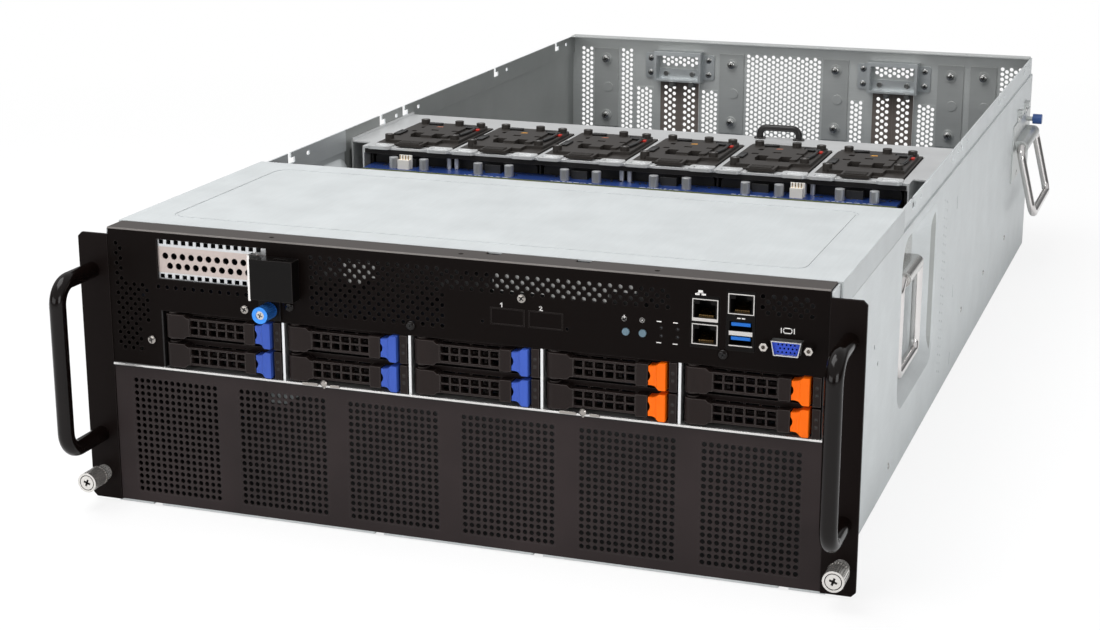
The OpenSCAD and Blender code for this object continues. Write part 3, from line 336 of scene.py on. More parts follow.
class Shape:
    """A mesh under construction, in millimetres in the server's own frame."""

    def __init__(self):
        self.bm = bmesh.new()

    def block(self, low, high, bevel=0.0, segments=2):
        low, high = Vector(low), Vector(high)
        made = bmesh.ops.create_cube(self.bm, size=1)["verts"]
        for vert in made:
            vert.co = Vector(
                low[i] + (vert.co[i] + 0.5) * (high[i] - low[i]) for i in range(3)
            )
        if bevel:
            edges = {e for v in made for e in v.link_edges}
            bmesh.ops.bevel(
                self.bm, geom=list(edges), offset=bevel, segments=segments, affect="EDGES", profile=0.6
            )
        return self

    def lathe(self, origin, profile, axis="Y", steps=32):
        """Turns (distance along the axis, radius) pairs into a closed body."""
        origin = Vector(origin)
        rings = []
        for along, radius in profile:
            ring = []
            for k in range(steps):
                a = math.tau * k / steps
                u, v = radius * math.cos(a), radius * math.sin(a)
                offset = {"X": (along, u, v), "Y": (v, along, u), "Z": (u, v, along)}[axis]
                ring.append(self.bm.verts.new(origin + Vector(offset)))
            rings.append(ring)
        for low, high in zip(rings, rings[1:]):
            for k in range(steps):
                n = (k + 1) % steps
                self.bm.faces.new((low[k], low[n], high[n], high[k]))
        self.bm.faces.new(list(reversed(rings[0])))
        self.bm.faces.new(rings[-1])
        return self

    def prism(self, outline, origin, axis, depth):
        """Pushes a closed outline, given in the two other axes, along an axis."""
        origin = Vector(origin)

        def point(u, v, along):
            return origin + Vector(
                {"X": (along, u, v), "Y": (u, along, v), "Z": (u, v, along)}[axis]
            )

        near = [self.bm.verts.new(point(u, v, 0)) for u, v in outline]
        far = [self.bm.verts.new(point(u, v, depth)) for u, v in outline]
        count = len(outline)
        for k in range(count):
            n = (k + 1) % count
            self.bm.faces.new((near[k], near[n], far[n], far[k]))
        self.bm.faces.new(list(reversed(near)))
        self.bm.faces.new(far)
        return self

    def tube(self, points, radius, steps):
        """A round bar swept along points."""
        points = [Vector(p) for p in points]
        rings = []
        up = Vector((0, 0, 1))
        for k, here in enumerate(points):
            along = (points[min(k + 1, len(points) - 1)] - points[max(k - 1, 0)]).normalized()
            side = along.cross(up)
            side = side.normalized() if side.length > 1e-4 else Vector((1, 0, 0))
            up = side.cross(along).normalized()
            rings.append(
                [
                    self.bm.verts.new(
                        here
                        + side * radius * math.cos(math.tau * j / steps)
                        + up * radius * math.sin(math.tau * j / steps)
                    )
                    for j in range(steps)
                ]
            )
        for low, high in zip(rings, rings[1:]):
            for j in range(steps):
                n = (j + 1) % steps
                self.bm.faces.new((low[j], low[n], high[n], high[j]))
        self.bm.faces.new(list(reversed(rings[0])))
        self.bm.faces.new(rings[-1])
        return self

    def piece(self, name, body, slot, finish, smooth_deg=35):
        """Finishes the mesh as an object that rides on a body."""
        bmesh.ops.recalc_face_normals(self.bm, faces=self.bm.faces)
        for vert in self.bm.verts:
            vert.co = at(*vert.co)
        mesh = bpy.data.meshes.new(name)
        self.bm.to_mesh(mesh)
        self.bm.free()
        made = bpy.data.objects.new(name, mesh)
        bpy.context.scene.collection.objects.link(made)
        mesh.shade_smooth()
        mesh.set_sharp_from_angle(angle=math.radians(smooth_deg))
        mesh.materials.append(finish.material)
        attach(made, body)


def dress(finish, *names):
    """Gives CAD nodes a finish."""
    for name in names:
        node = NODES[name]
        if not node.material_slots:
            node.data.materials.append(finish.material)
        for slot in node.material_slots:
            slot.material = finish.material


# ---------------------------------------------------------------- settings


def colour_prop(name, description, default):
    return bpy.props.FloatVectorProperty(
        name=name, description=description, default=default, subtype="COLOR", size=3, min=0, max=1
    )


def length_prop(name, description, default):
    return bpy.props.FloatProperty(
        name=name, description=description, default=default * MM, unit="LENGTH", min=0.0
    )


def angle_prop(name, description, degrees):
    return bpy.props.FloatProperty(
        name=name, description=description, default=math.radians(degrees), unit="ROTATION"
    )


def power_prop(name, description, watts):
    return bpy.props.FloatProperty(name=name, description=description, default=watts, unit="POWER", min=0)


class ServerFinishes(bpy.types.PropertyGroup):
    """Colours of the server's finishes."""

    cover: colour_prop("Cover steel", "Zinc-coated sheet of the cover and side walls", (0.655, 0.685, 0.69))
    rear: colour_prop("Rear steel", "Zinc-coated sheet of the rear wall", (0.60, 0.62, 0.61))
    deck: colour_prop("Deck steel", "Bright sheet of the fan deck and drive cage", (0.72, 0.73, 0.73))
    black: colour_prop("Black coat", "Powder coat of the upper front panel", (0.0036, 0.0020, 0.0016))
    grille: colour_prop("Grille coat", "Powder coat of the lower front panel", (0.0215, 0.0155, 0.0155))
    ear: colour_prop("Ear coat", "Powder coat of the rack ears", (0.0062, 0.0040, 0.0036))
    fan_cap: colour_prop("Fan cap", "Dark plate on top of each fan module", (0.027, 0.023, 0.020))
    slot: colour_prop("Slot plate", "Perforated plate of the front card slot", (0.56, 0.57, 0.58))
    tray: colour_prop("Tray plastic", "Black plastic of the drive trays", (0.0115, 0.0072, 0.0064))
    latch_blue: colour_prop("Blue latch", "Latches of the first three columns", (0.038, 0.088, 0.40))
    latch_orange: colour_prop("Orange latch", "Latches of the last two columns", (0.86, 0.135, 0.0025))
    board: colour_prop("Board", "Solder mask of the circuit boards", (0.012, 0.035, 0.15))


class ServerHardware(bpy.types.PropertyGroup):
    """Sizes of the small hardware."""

    screw_head: length_prop("Screw head", "Diameter of the small screws' heads", 5.4)
    rivet_head: length_prop("Rivet head", "Diameter of the side walls' rivets", 4.4)
    thread_pitch: length_prop("Thread pitch", "Pitch of the rack screws' thread", 0.8)


class ServerStudio(bpy.types.PropertyGroup):
    """Camera and light."""

    azimuth: angle_prop("Azimuth", "Camera's angle round the server", 19.4)
    elevation: angle_prop("Elevation", "Camera's angle above the floor", 15.7)
    lens: bpy.props.FloatProperty(
        name="Focal length", description="Lens, on a 36 mm sensor", default=67.7, unit="CAMERA", min=10
    )
    key: power_prop("Key light", "Power of the large top light", 30)
    fill: power_prop("Side light", "Power of the right side light", 12)
    front: power_prop("Front light", "Power of the low front light", 8)
    room: bpy.props.FloatProperty(
        name="Room light", description="Strength of the pale room", default=0.72, min=0
    )


# ---------------------------------------------------------------- where things are (mm)

FACE = 0.6  # front of the black panels
INNER_REAR = REAR - 1.2  # inner face of the rear wall
FAN_PITCH = 67
FAN_X = [(i - 2.5) * FAN_PITCH for i in range(6)]
FAN_Y = 346
DECK = 165
STRIPS_X = (-187.8, -60.8, 41, 149.5, 179.8)
SLOTS_X = (-112.7, 96.4)
RACK_SCREW_X = 232.65
CAGE_LIP = 91.3  # top of the drive cage's lip
LEFT_JACKS_X, RIGHT_JACK_X = 152, 172.2
DISPLAY_PORT = (198.6, 141.8)
BUTTONS_X = (106.7, 116.5)
RETAINER_EDGE = -121.35  # between the retainer box and the chrome strip
RETAINER_SCREW = (-113.3, 134)
WHITE = (1, 1, 1)
NEAR_BLACK = (0.012, 0.011, 0.011)
DULL_BLACK = (0.02, 0.02, 0.02)


# ---------------------------------------------------------------- small parts


def cross_recess(shape, centre, size, depth, turn=0.4):
    """The two slots of a Phillips recess, as bars of painted shade in a head that faces -Y."""
    x, y, z = centre
    for angle in (turn, turn + math.pi / 2):
        c, d = math.cos(angle), math.sin(angle)
        w = size * 0.24
        corners = ((1, 1), (-1, 1), (-1, -1), (1, -1))
        outline = [(i * c * size - j * d * w, i * d * size + j * c * w) for i, j in corners]
        shape.prism(outline, (x, y, z), "Y", -depth)
    return shape


def screws(name, places, radius, head, dark, slot, height=1.5, turn=0.4):
    """Pan-head screws that face the front: heads in one piece, the painted shade of their recesses in
    another.
    """
    heads, recesses = Shape(), Shape()
    for k, (x, y, z) in enumerate(places):
        dome = ((0, 0.96), (0.3, 1), (0.62, 0.93), (0.85, 0.74), (1, 0.4))
        heads.lathe((x, y, z), [(-a * height, radius * r) for a, r in dome], "Y", 28)
        cross_recess(recesses, (x, y - height + 0.08, z), radius * 0.56, 0.12, turn + k * 0.7)
    heads.piece(name, "chassis", slot, head)
    recesses.piece(name + "_recesses", "chassis", slot, dark)


def rivet(shape, centre, radius, axis, sign, height=0.9):
    dome = ((0, 1), (0.45, 0.94), (0.8, 0.68), (1, 0.3))
    shape.lathe(centre, [(sign * a * height, radius * r) for a, r in dome], axis, 24)


def stroke(shape, a, b, width=0.55, face=FACE):
    """A printed line on the front panel from a to b, given as (x, z)."""
    a, b = Vector(a), Vector(b)
    along = (b - a).normalized() * width / 2
    side = Vector((-along.y, along.x))
    a, b = a - along, b + along
    outline = [tuple(p) for p in (a + side, b + side, b - side, a - side)]
    shape.prism(outline, (0, face - 0.06, 0), "Y", 0.05)


def strokes(shape, points, width=0.55, closed=False):
    points = list(points) + ([points[0]] if closed else [])
    for a, b in zip(points, points[1:]):
        stroke(shape, a, b, width)


def arc(centre, radius, start, end, steps=14):
    return [
        (
            centre[0] + radius * math.cos(math.radians(start + (end - start) * k / steps)),
            centre[1] + radius * math.sin(math.radians(start + (end - start) * k / steps)),
        )
        for k in range(steps + 1)
    ]


# ---------------------------------------------------------------- operators


class SERVER_OT_sheet_metal(bpy.types.Operator):
    """Finish the folded sheet metal of the body and set its rivets and screws"""

    bl_idname = "server.sheet_metal"
    bl_label = "Sheet metal"

    def execute(self, context):
        tint, size = context.scene.server_finishes, context.scene.server_hardware
        cover = tuple(tint.cover)

        def inside_walls(x, y, z):
            """Inner faces of the side walls, whose top band is set in."""
            return (z > 1.95) * either((abs(x) < HALF_W - 1.15) * (z < TOP - 17.3), abs(x) < HALF_W - 2.5)

        def shaded_air_duct(x, y, z):
            """Painted shade on the inner faces ahead of the fans."""
            clear = either((y < 204) * inside_walls(x, y, z), (y < 342) * (abs(x) < HALF_W - 15.5))
            return clear * (z > 1.95) * (z < TOP - 1.15)

        shell = patched(
            "shell_steel",
            (cover, 0.48, 0.55),
            # painted shade: the inner faces of the side walls behind the fans are darker
            (lambda x, y, z: (y > 342) * inside_walls(x, y, z), (0.415, 0.43, 0.42), 0.42, 0.8),
            (shaded_air_duct, DULL_BLACK, 0.6, 0.0),
            stretch=(1, 0.06, 1),
            edge_mm=0.25,
        )
        dress(shell, "chassis_shell")
        lid = patched(
            "lid_steel",
            (tinted(cover, 0.88), 0.6, 0.36),
            # painted shade on the underside
            (lambda x, y, z: (z < TOP - 1.1) * (abs(x) < HALF_W - 1.1), DULL_BLACK, 0.6, 0.0),
            stretch=(1, 0.06, 1),
            edge_mm=0.25,
        )
        dress(lid, "front_cover")

        def strips(x, y, z):
            """The bolted strips, which are duller than the wall they stand on."""
            return y.within(INNER_REAR - 5, INNER_REAR - 0.4) * z.within(TOP - 90, TOP - 11.9)

        rear = patched(
            "rear_steel",
            (tuple(tint.rear), 0.40, 0.5),
            (strips, tinted(tuple(tint.rear), 0.8), 0.36, 0.5),
            stretch=(0.06, 1, 1),
            # lift paints a highlight along the wall's sharp edges
            lift=0.12,
        )
        dress(rear, "rear_wall")

        def deck_handle(x, y, z):
            """The small handle on the deck, dipped in black."""
            return x.near(83.5, 21) * y.near(464, 8) * (z > DECK + 0.1)

        def shaded_fan_dividers(x, y, z):
            """Sheets between the fans, with painted shade below the deck."""
            return (z < DECK - 1.7) * (abs(x) < 203.2)

        deck = patched(
            "deck_steel",
            (tuple(tint.deck), 0.34, 0.6),
            (deck_handle, NEAR_BLACK, 0.32, 0.0),
            (shaded_fan_dividers, NEAR_BLACK, 0.5, 0.2),
            stretch=(0.06, 1, 1),
            # lift paints a highlight along the deck's sharp edges
            lift=0.1,
        )
        dress(deck, "fan_cage")
        left, right = -HALF_W + 37.4, HALF_W - 4.4

        def coated_ends_and_shaded_floor(x, y, z):
            """End walls, coated with the panel, and painted shade on the underside of the floor."""
            ends = either(x < left + 1.2, x > right - 1.2)
            return either(ends * (z > CAGE_LIP) * (y < 16), z < 90.02)

        cage = patched(
            "cage_steel",
            (tuple(tint.deck), 0.3, 0.85),
            (lambda x, y, z: (y < 1.9) * (z < CAGE_LIP), (0.62, 0.61, 0.60), 0.2, 0.8),
            (coated_ends_and_shaded_floor, (0.006, 0.005, 0.005), 0.45, 0.0),
            stretch=(0.06, 1, 1),
        )
        dress(cage, "drive_cage")

        zinc = steel("zinc_hardware", (0.42, 0.42, 0.41), 0.24, 0.95, (1, 1, 1), 0.05)
        # painted shade for the screws' cross recesses
        dark = moulded("recess_painted_shade", (0.012, 0.011, 0.010), 0.6, 0.3, 0)
        wall = Shape()
        for y in (486, 605, 734):
            for s in (-1, 1):
                rivet(wall, (s * (HALF_W - 0.05), y, 38), size.rivet_head / MM / 2, "X", s)
        for y in (40, 190):
            for s in (-1, 1):
                rivet(wall, (s * (HALF_W - 0.05), y, 12), size.rivet_head / MM / 2, "X", s)
        wall.piece("side_rivets", "chassis", "zinc_steel", zinc)

        face = INNER_REAR - 1.2 - 3
        places = [(x, face + 0.1, z) for x in STRIPS_X for z in (TOP - 22, TOP - 78)]
        screws("strip_screws", places, 3.5, zinc, dark, "nickel", 1.6)
        z0 = TOP - 42
        places = [(x + s * 29, INNER_REAR - 1.55, z0 + z) for x in SLOTS_X for s in (-1, 1) for z in (9, 23)]
        screws("frame_screws", places, 2.9, zinc, dark, "nickel", 1.2)
        nuts = Shape()
        for x in SLOTS_X:
            for s in (-1, 1):
                nut = [(0, 2.6), (-1.6, 2.6), (-2.2, 2.0)]
                nuts.lathe((x + s * 13, INNER_REAR - 2.4, TOP - 33.2), nut, "Y", 24)
        nuts.piece("frame_nuts", "chassis", "nickel", zinc)
        hooks = Shape()
        for x in SLOTS_X:
            for s in (-1, 1):
                cx = x + s * 9.7 + 4.5
                outer = [(1.4, 46), (1.4, 39.4), (13.4, 39.4), (13.4, 44.5)]
                inner = [(12.6, 44.5), (12.6, 40.2), (2.2, 40.2), (2.2, 46)]
                bend = [(INNER_REAR - back, TOP - down) for back, down in outer + inner]
                hooks.prism(bend, (cx - 2, 0, 0), "X", 4)
        hooks.piece("slot_cover_hooks", "chassis", "slot_steel", zinc)
        return {"FINISHED"}


class SERVER_OT_black_front(bpy.types.Operator):
    """Finish the black panels, ears and front handles, and print the port marks"""

    bl_idname = "server.black_front"
    bl_label = "Black front"

    def execute(self, context):
        tint, size = context.scene.server_finishes, context.scene.server_hardware
        black = tuple(tint.black)
        panel = patched(
            "black_coat",
            (black, 0.42, 0.0),
            # painted highlight: the top flange is lightened, most of all along its fold
            (lambda x, y, z: z > TOP - 0.5, (0.080, 0.072, 0.068), 0.4, 0.2),
            (lambda x, y, z: (z > TOP - 0.9) * (y < FACE + 0.7), (0.20, 0.185, 0.175), 0.3, 0.4),
            grain_mm=0.9,
            depth_mm=0.02,
            gloss=0.05,
            # lift paints a highlight along sharp edges
            lift=0.03,
        )
        dress(panel, "upper_front_panel")
        dress(powder_coat("grille_coat", tuple(tint.grille), 0.5, gloss=0.14), "lower_front_panel")
        ears = patched(
            "ear_coat",
            (tuple(tint.ear), 0.42, 0.0),
            # the thumbscrews' ferrules stand in front of the ears
            (lambda x, y, z: y < -0.05, (0.66, 0.64, 0.61), 0.26, 0.7),
            grain_mm=0.9,
            depth_mm=0.02,
            gloss=0.05,
            # lift paints a highlight along sharp edges
            lift=0.02,
        )
        dress(ears, "rack_ears")
        bar = powder_coat("handle_coat", tinted(black, 0.8), 0.13, 0, 0.2)
        dress(bar, "front_handles")

        zinc = steel("panel_zinc", (0.30, 0.28, 0.26), 0.2, 1.0, (1, 1, 1), 0.05)
        # painted shade for the panel screws' cross recesses
        dark = moulded("panel_screw_recess_shade", (0.006, 0.006, 0.006), 0.6, 0.3, 0)
        head = size.screw_head / MM / 2
        bright = [(-130.3, FACE, 132.6), (-194.1, FACE, 107.8), (45.0, FACE, 155.3)]
        screws("bright_panel_screws", bright, head, zinc, dark, "nickel", 1.2, 1.1)
        coated = [(-100.7, FACE, 136.9), (-23.3, FACE, 132.9), (162.6, FACE, 134.0)]
        screws("black_panel_screws", coated, head * 1.1, bar, dark, "black_steel", 1.6)

        lip = Shape()
        for x in (-78.9, 82.3):
            lip.block((x - 14, -1.9, 90.4), (x - 4, -0.8, 92.2), 0.3)
            lip.block((x + 4, -1.9, 90.4), (x + 10, -0.8, 92.2), 0.3)
            lip.lathe((x, -0.8, 92.4), [(0, 2.1), (-1.0, 2.1), (-1.5, 1.4)], "Y", 24)
            lip.block((x - 0.6, -1.2, 89.2), (x + 0.6, -0.9, 91), 0.1)
        lip.piece("lip_catches", "chassis", "bright_steel", zinc)

        paint = moulded("printed_white", (0.72, 0.70, 0.68), 0.5, 0.3, 0)
        marks = Shape()
        # two small boxes under a third: network
        stroke(marks, (148.4, 168.8), (149.9, 168.8), 1.1)
        for x in (146.6, 150.2):
            stroke(marks, (x, 167.0), (x + 1.5, 167.0), 1.0)
        strokes(marks, [(147.3, 167.4), (147.3, 167.9), (151.0, 167.9), (151.0, 167.4)], 0.4)
        # ticks for the pair of serial ports, on the face of their shell
        for x in (170.4, 173.0):
            stroke(marks, (x, 155.5), (x + 1.3, 155.5), 0.6, FACE - 0.42)
        # screen between two bars: display
        for x in (194.7, 201.9):
            stroke(marks, (x, 149.7), (x, 152.1), 0.5)
        corners = ((-1.9, -1.4), (1.9, -1.4), (2.5, 0), (1.9, 1.4), (-1.9, 1.4), (-2.5, 0))
        screen = [(198.3 + x, 150.9 + z) for x, z in corners]
        strokes(marks, screen, 0.5, True)
        # standby ring with its bar, and the finder's ring
        strokes(marks, arc((105.6, 149.2), 1.25, 125, 415), 0.45)
        stroke(marks, (105.6, 149.6), (105.6, 151.0), 0.45)
        strokes(marks, arc((116.0, 149.2), 1.25, 0, 360), 0.45)
        stroke(marks, (116.0, 149.0), (116.0, 149.4), 0.5)
        # port numbers
        strokes(marks, [(32.2, 150.9), (33.0, 151.6), (33.0, 149.2)], 0.5)
        strokes(marks, [(55.6, 151.1), (56.4, 151.6), (57.2, 150.9), (55.6, 149.2), (57.4, 149.2)], 0.5)
        # ticks beside the indicator holes
        for x in (125.8, 135.2):
            stroke(marks, (x - 1.1, 149.4), (x + 1.1, 149.4), 0.5)
            stroke(marks, (x - 1.1, 137.2), (x + 1.1, 137.2), 0.5)
        marks.piece("port_marks", "chassis", "chassis_steel", paint)

        tabs = Shape()
        tab_edges = ((27, 58, 158.2, 168.6), (58, 96, 157.0, 168.6), (96, 112, 163.6, 168.6))
        tab_edges += ((-66, -46, 158.6, 167.2), (-63, -52, 154.6, 158.6))
        for left, right, low, high in tab_edges:
            tabs.block((left, FACE + 1.5, low), (right, FACE + 2.1, high))
        bare = steel("tab_steel", (0.42, 0.42, 0.41), 0.4, 0.3)
        tabs.piece("cover_tabs", "chassis", "chassis_steel", bare)

        lights = Shape()
        for x in (127.1, 136.5):
            for z in (141.2, 145.8):
                lights.lathe((x, FACE + 1.1, z), [(0, 0.9), (-0.5, 0.85), (-0.8, 0.4)], "Y", 20)
        lens = moulded("indicator_lens", (0.03, 0.032, 0.034), 0.15, 0.3, 0)
        lights.piece("indicator_lights", "chassis", "button_plastic", lens)
        return {"FINISHED"}


class SERVER_OT_drive_trays(bpy.types.Operator):
    """Finish the drive trays, their levers and latches, and fit the light guides"""

    bl_idname = "server.drive_trays"
    bl_label = "Drive trays"

    def execute(self, context):
        tint = context.scene.server_finishes
        # lift paints a highlight along the trays' sharp edges
        tray = moulded("tray_plastic", tuple(tint.tray), 0.40, gloss=0.13, lift=0.07)
        blue = moulded("latch_blue", tuple(tint.latch_blue), 0.36, gloss=0.18)
        orange = moulded("latch_orange", tuple(tint.latch_orange), 0.36, gloss=0.12)
        guide = moulded("light_guide", (0.035, 0.034, 0.032), 0.12, 0.3, 0)
        for name in TRAYS:
            dress(tray, name, name + "_lever")
            dress(blue if int(name[5]) < 4 else orange, name + "_latch")
            low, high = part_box(name)
            right, floor_z, front = high.x / MM, low.z / MM, (low.y - EAR_FACE_Y) / MM
            guides = Shape()
            for z in (5.6, 10.0):
                low_corner = (right - 2.95, front + 0.45, floor_z + z + 0.05)
                guides.block(low_corner, (right - 1.65, front + 1.3, floor_z + z + 1.35), 0.15)
            guides.piece(name + "_light_guides", name, "tray_plastic", guide)
        return {"FINISHED"}


class SERVER_OT_fans(bpy.types.Operator):
    """Finish the fan modules and fit their levers, screws and marks"""

    bl_idname = "server.fans"
    bl_label = "Fan modules"

    def execute(self, context):
        shell = patched(
            "fan_plastic",
            ((0.014, 0.013, 0.013), 0.45, 0.0),
            (lambda x, y, z: z > DECK - 7.3, tuple(context.scene.server_finishes.fan_cap), 0.46, 0.0),
            grain_mm=0.4,
            depth_mm=0.02,
        )
        dress(shell, *FANS)
        steel_head = steel("fan_screws", (0.34, 0.33, 0.32), 0.32, 0.9, (1, 1, 1), 0.05)
        lever = moulded("fan_lever", (0.008, 0.008, 0.008), 0.22, 0.5)
        red = moulded("fan_red", (0.50, 0.022, 0.012), 0.4, 0.3, 0)
        amber = moulded("fan_amber", (0.75, 0.34, 0.03), 0.5, 0.3, 0)
        copper = moulded("fan_copper", (0.42, 0.13, 0.07), 0.5, 0.3, 0)
        for k, name in enumerate(FANS):
            x0 = FAN_X[k]
            top = DECK + 3
            heads = Shape()
            head = [(0, 1.65), (0.9, 1.6), (1.2, 1.1), (1.2, 0.5), (0.7, 0.4)]
            for dx, dy in ((-24, 10), (24, 22), (-22, 76), (25, 74)):
                heads.lathe((x0 + dx, FAN_Y + dy, top + 2), head, "Z", 20)
            heads.piece(name + "_screws", name, "nickel", steel_head)
            arm = Shape()
            path = [(24, 32), (25.5, 44), (25.5, 58), (22, 66), (14, 69)]
            arm.tube([(x0 + dx, FAN_Y + dy, top + 1.0) for dx, dy in path], 1.3, 12)
            arm.block((x0 + 15, FAN_Y + 62.5, top), (x0 + 26.5, FAN_Y + 67.5, top + 1.7), 0.5)
            arm.block((x0 - 27, FAN_Y + 24, top), (x0 - 21.5, FAN_Y + 40, top + 1.4), 0.6)
            arm.block((x0 - 17, FAN_Y + 70, top), (x0 - 6, FAN_Y + 74, top + 1.8), 0.6)
            arm.piece(name + "_lever", name, "fan_plastic", lever)
            tab = Shape()
            tab.block((x0 + 26.2, FAN_Y + 58, top - 0.2), (x0 + 28.8, FAN_Y + 62.5, top + 1.2), 0.4)
            tab.piece(name + "_release_tab", name, "latch_orange", red)
            mark = Shape()
            w = (-2, 54) if k % 2 else (-5, 56)
            outline = [(w[0], w[1]), (w[0] + 5, w[1] + 1), (w[0] + 5, w[1] + 3), (w[0] + 1, w[1] + 2.5)]
            mark.prism([(x0 + a, FAN_Y + b) for a, b in outline], (0, 0, DECK + 4.58), "Z", 0.07)
            mark.piece(name + "_arrow", name, "latch_orange", amber if k % 2 else copper)
        return {"FINISHED"}


class SERVER_OT_boards(bpy.types.Operator):
    """Finish the circuit boards and place their parts"""

    bl_idname = "server.boards"
    bl_label = "Circuit boards"

    def execute(self, context):
        level = DECK - 1.2 - 14 + 1.6  # top of the fan board

        def beside_fan(x, offsets, reach):
            """Columns that repeat beside each fan module."""
            lane = x % FAN_PITCH - FAN_PITCH / 2
            return either(*(lane.near(offset, reach) for offset in offsets))

        def on_top(y, z, near, far):
            """A strip of the fan board's upper side, between two distances from the ears."""
            return y.within(near, far) * (z > level + 0.1)

        def cut_edge(x, y, z):
            return y.within(300, 322.15) * z.within(149, level + 0.02)

        def posts(x, y, z):
            return either(*(x.near(k * FAN_PITCH, 5.5) for k in (-2, 0, 2))) * on_top(y, z, 335, 344)

        def plug_sockets(x, y, z):
            return either(x.near(-167.5, 4.7), x.near(128.5, 4.7)) * on_top(y, z, 324, 330.5)

        mask = tuple(context.scene.server_finishes.board)
        board = solder_mask(
            "solder_mask",
            mask,
            # painted shade on the boards under the front cover
            (lambda x, y, z: (y < 204) * (z > 128), tinted(mask, 0.15), 0.6, 0.0),
            # the fan board's cut edge, capacitors, posts, fan sockets and plug sockets
            (cut_edge, (0.16, 0.18, 0.06), 0.5, 0.0),
            (
                lambda x, y, z: beside_fan(x, (-9.1, 15.1), 3.7) * on_top(y, z, 324, 333),
                (0.44, 0.45, 0.46), 0.32, 0.6,
            ),
            (posts, (0.72, 0.73, 0.74), 0.28, 0.7),
            (lambda x, y, z: beside_fan(x, (0,), 6.3) * on_top(y, z, 334, 342), DULL_BLACK, 0.4, 0.0),
            (plug_sockets, (0.72, 0.70, 0.66), 0.4, 0.0),
            # the backplane's connectors, then the card board with its sockets and standoffs
            (lambda x, y, z: y.within(120, 131.95) * z.within(88, 128), (0.015, 0.015, 0.016), 0.4, 0.0),
            (lambda x, y, z: y > 440, (0.012, 0.024, 0.045), 0.45, 0.0),
            (lambda x, y, z: (y > 480) * (z > 47), (0.015, 0.015, 0.018), 0.4, 0.0),
            (lambda x, y, z: (y > 480) * (z < 45.2), (0.55, 0.50, 0.36), 0.3, 1.0),
        )
        dress(board, "circuit_boards")
        random.seed(4)
        chip = moulded("chip_black", (0.018, 0.018, 0.019), 0.35, 0.4, 0)
        can = steel("capacitor_can", (0.58, 0.59, 0.60), 0.28, 0.6, (1, 1, 0.2), 0.05)
        white = moulded("connector_white", (0.72, 0.70, 0.66), 0.4, 0.5, 0.2)
        gold = polished("pin_gold", (0.78, 0.52, 0.22), 0.2)
        ink = moulded("board_ink", (0.62, 0.64, 0.66), 0.55, 0.4, 0)

        # pins of the fan board's plugs, coils and printed marks on its front strip
        pins, plugs = Shape(), Shape()
        for x in (-172, 124):
            for k in range(4):
                pins.block((x + 0.9 + k * 2.2, 327.2, level + 6), (x + 1.5 + k * 2.2, 327.8, level + 10.4))
            plugs.block((x - 0.6, 330.0, level), (x + 9.6, 331.2, level + 10.0), 0.3)
        pins.piece("fan_board_pins", "chassis", "connector_metal", gold)
        plugs.piece("fan_board_plugs", "chassis", "board", white)
        caps = Shape()
        for x0 in FAN_X:
            for dx in (-9.1, 15.1):
                top = [(0, 3.1), (0.35, 3.25), (0.45, 2.7), (0.45, 0.3)]
                caps.lathe((x0 + dx, 329, level + 7.9), top, "Z", 28)
        caps.piece("capacitor_tops", "chassis", "connector_metal", can)
        marks, parts = Shape(), Shape()
        for x0 in FAN_X:
            if x0 > -150:
                x = x0 - 18
                while x < x0 + 12:
                    run = random.uniform(1.2, 4.5)
                    marks.block((x, 323.4, level), (x + run, 324.4, level + 0.04))
                    x += run + random.uniform(0.7, 2.2)
            for k in range(9):
                x, y = x0 + random.uniform(-30, 30), random.uniform(333, 341)
                w = random.choice((1.0, 1.6, 2.4))
                parts.block((x, y, level), (x + w, y + 1.0, level + 0.7), 0.1, 1)
        marks.piece("fan_board_marks", "chassis", "board", ink)
        parts.piece("fan_board_parts", "chassis", "board", chip)

        # processor and memory area on the main board, under the cover
        parts = Shape()
        base = TOP - 34.2 - 10 + 1.6
        for x in (-120, -40, 60):
            parts.block((x, 60, base), (x + 34, 94, base + 3), 0.4)
            for k in range(6):
                parts.block((x + k * 7, 116, base), (x + k * 7 + 2.6, 180, base + 1.1), 0.2)
        parts.piece("main_board_parts", "chassis", "board", chip)

        # the card board behind the fans
        base = 2.3 + 39 + 4 + 1.6
        parts, cans = Shape(), Shape()
        for k in range(10):
            x = (k - 4.5) * 40.6
            parts.block((x - 15, 508, base), (x - 7, 520, base + 1.2), 0.2)
            parts.block((x + 7, 650, base), (x + 17, 660, base + 1.6), 0.2)
            for j in range(3):
                cans.lathe((x + 10 + j * 4.4, 512, base), [(0, 1.9), (5.2, 1.9), (5.5, 1.6)], "Z", 20)
        parts.piece("card_board_chips", "chassis", "board", chip)
        cans.piece("card_board_capacitors", "chassis", "connector_metal", can)
        return {"FINISHED"}


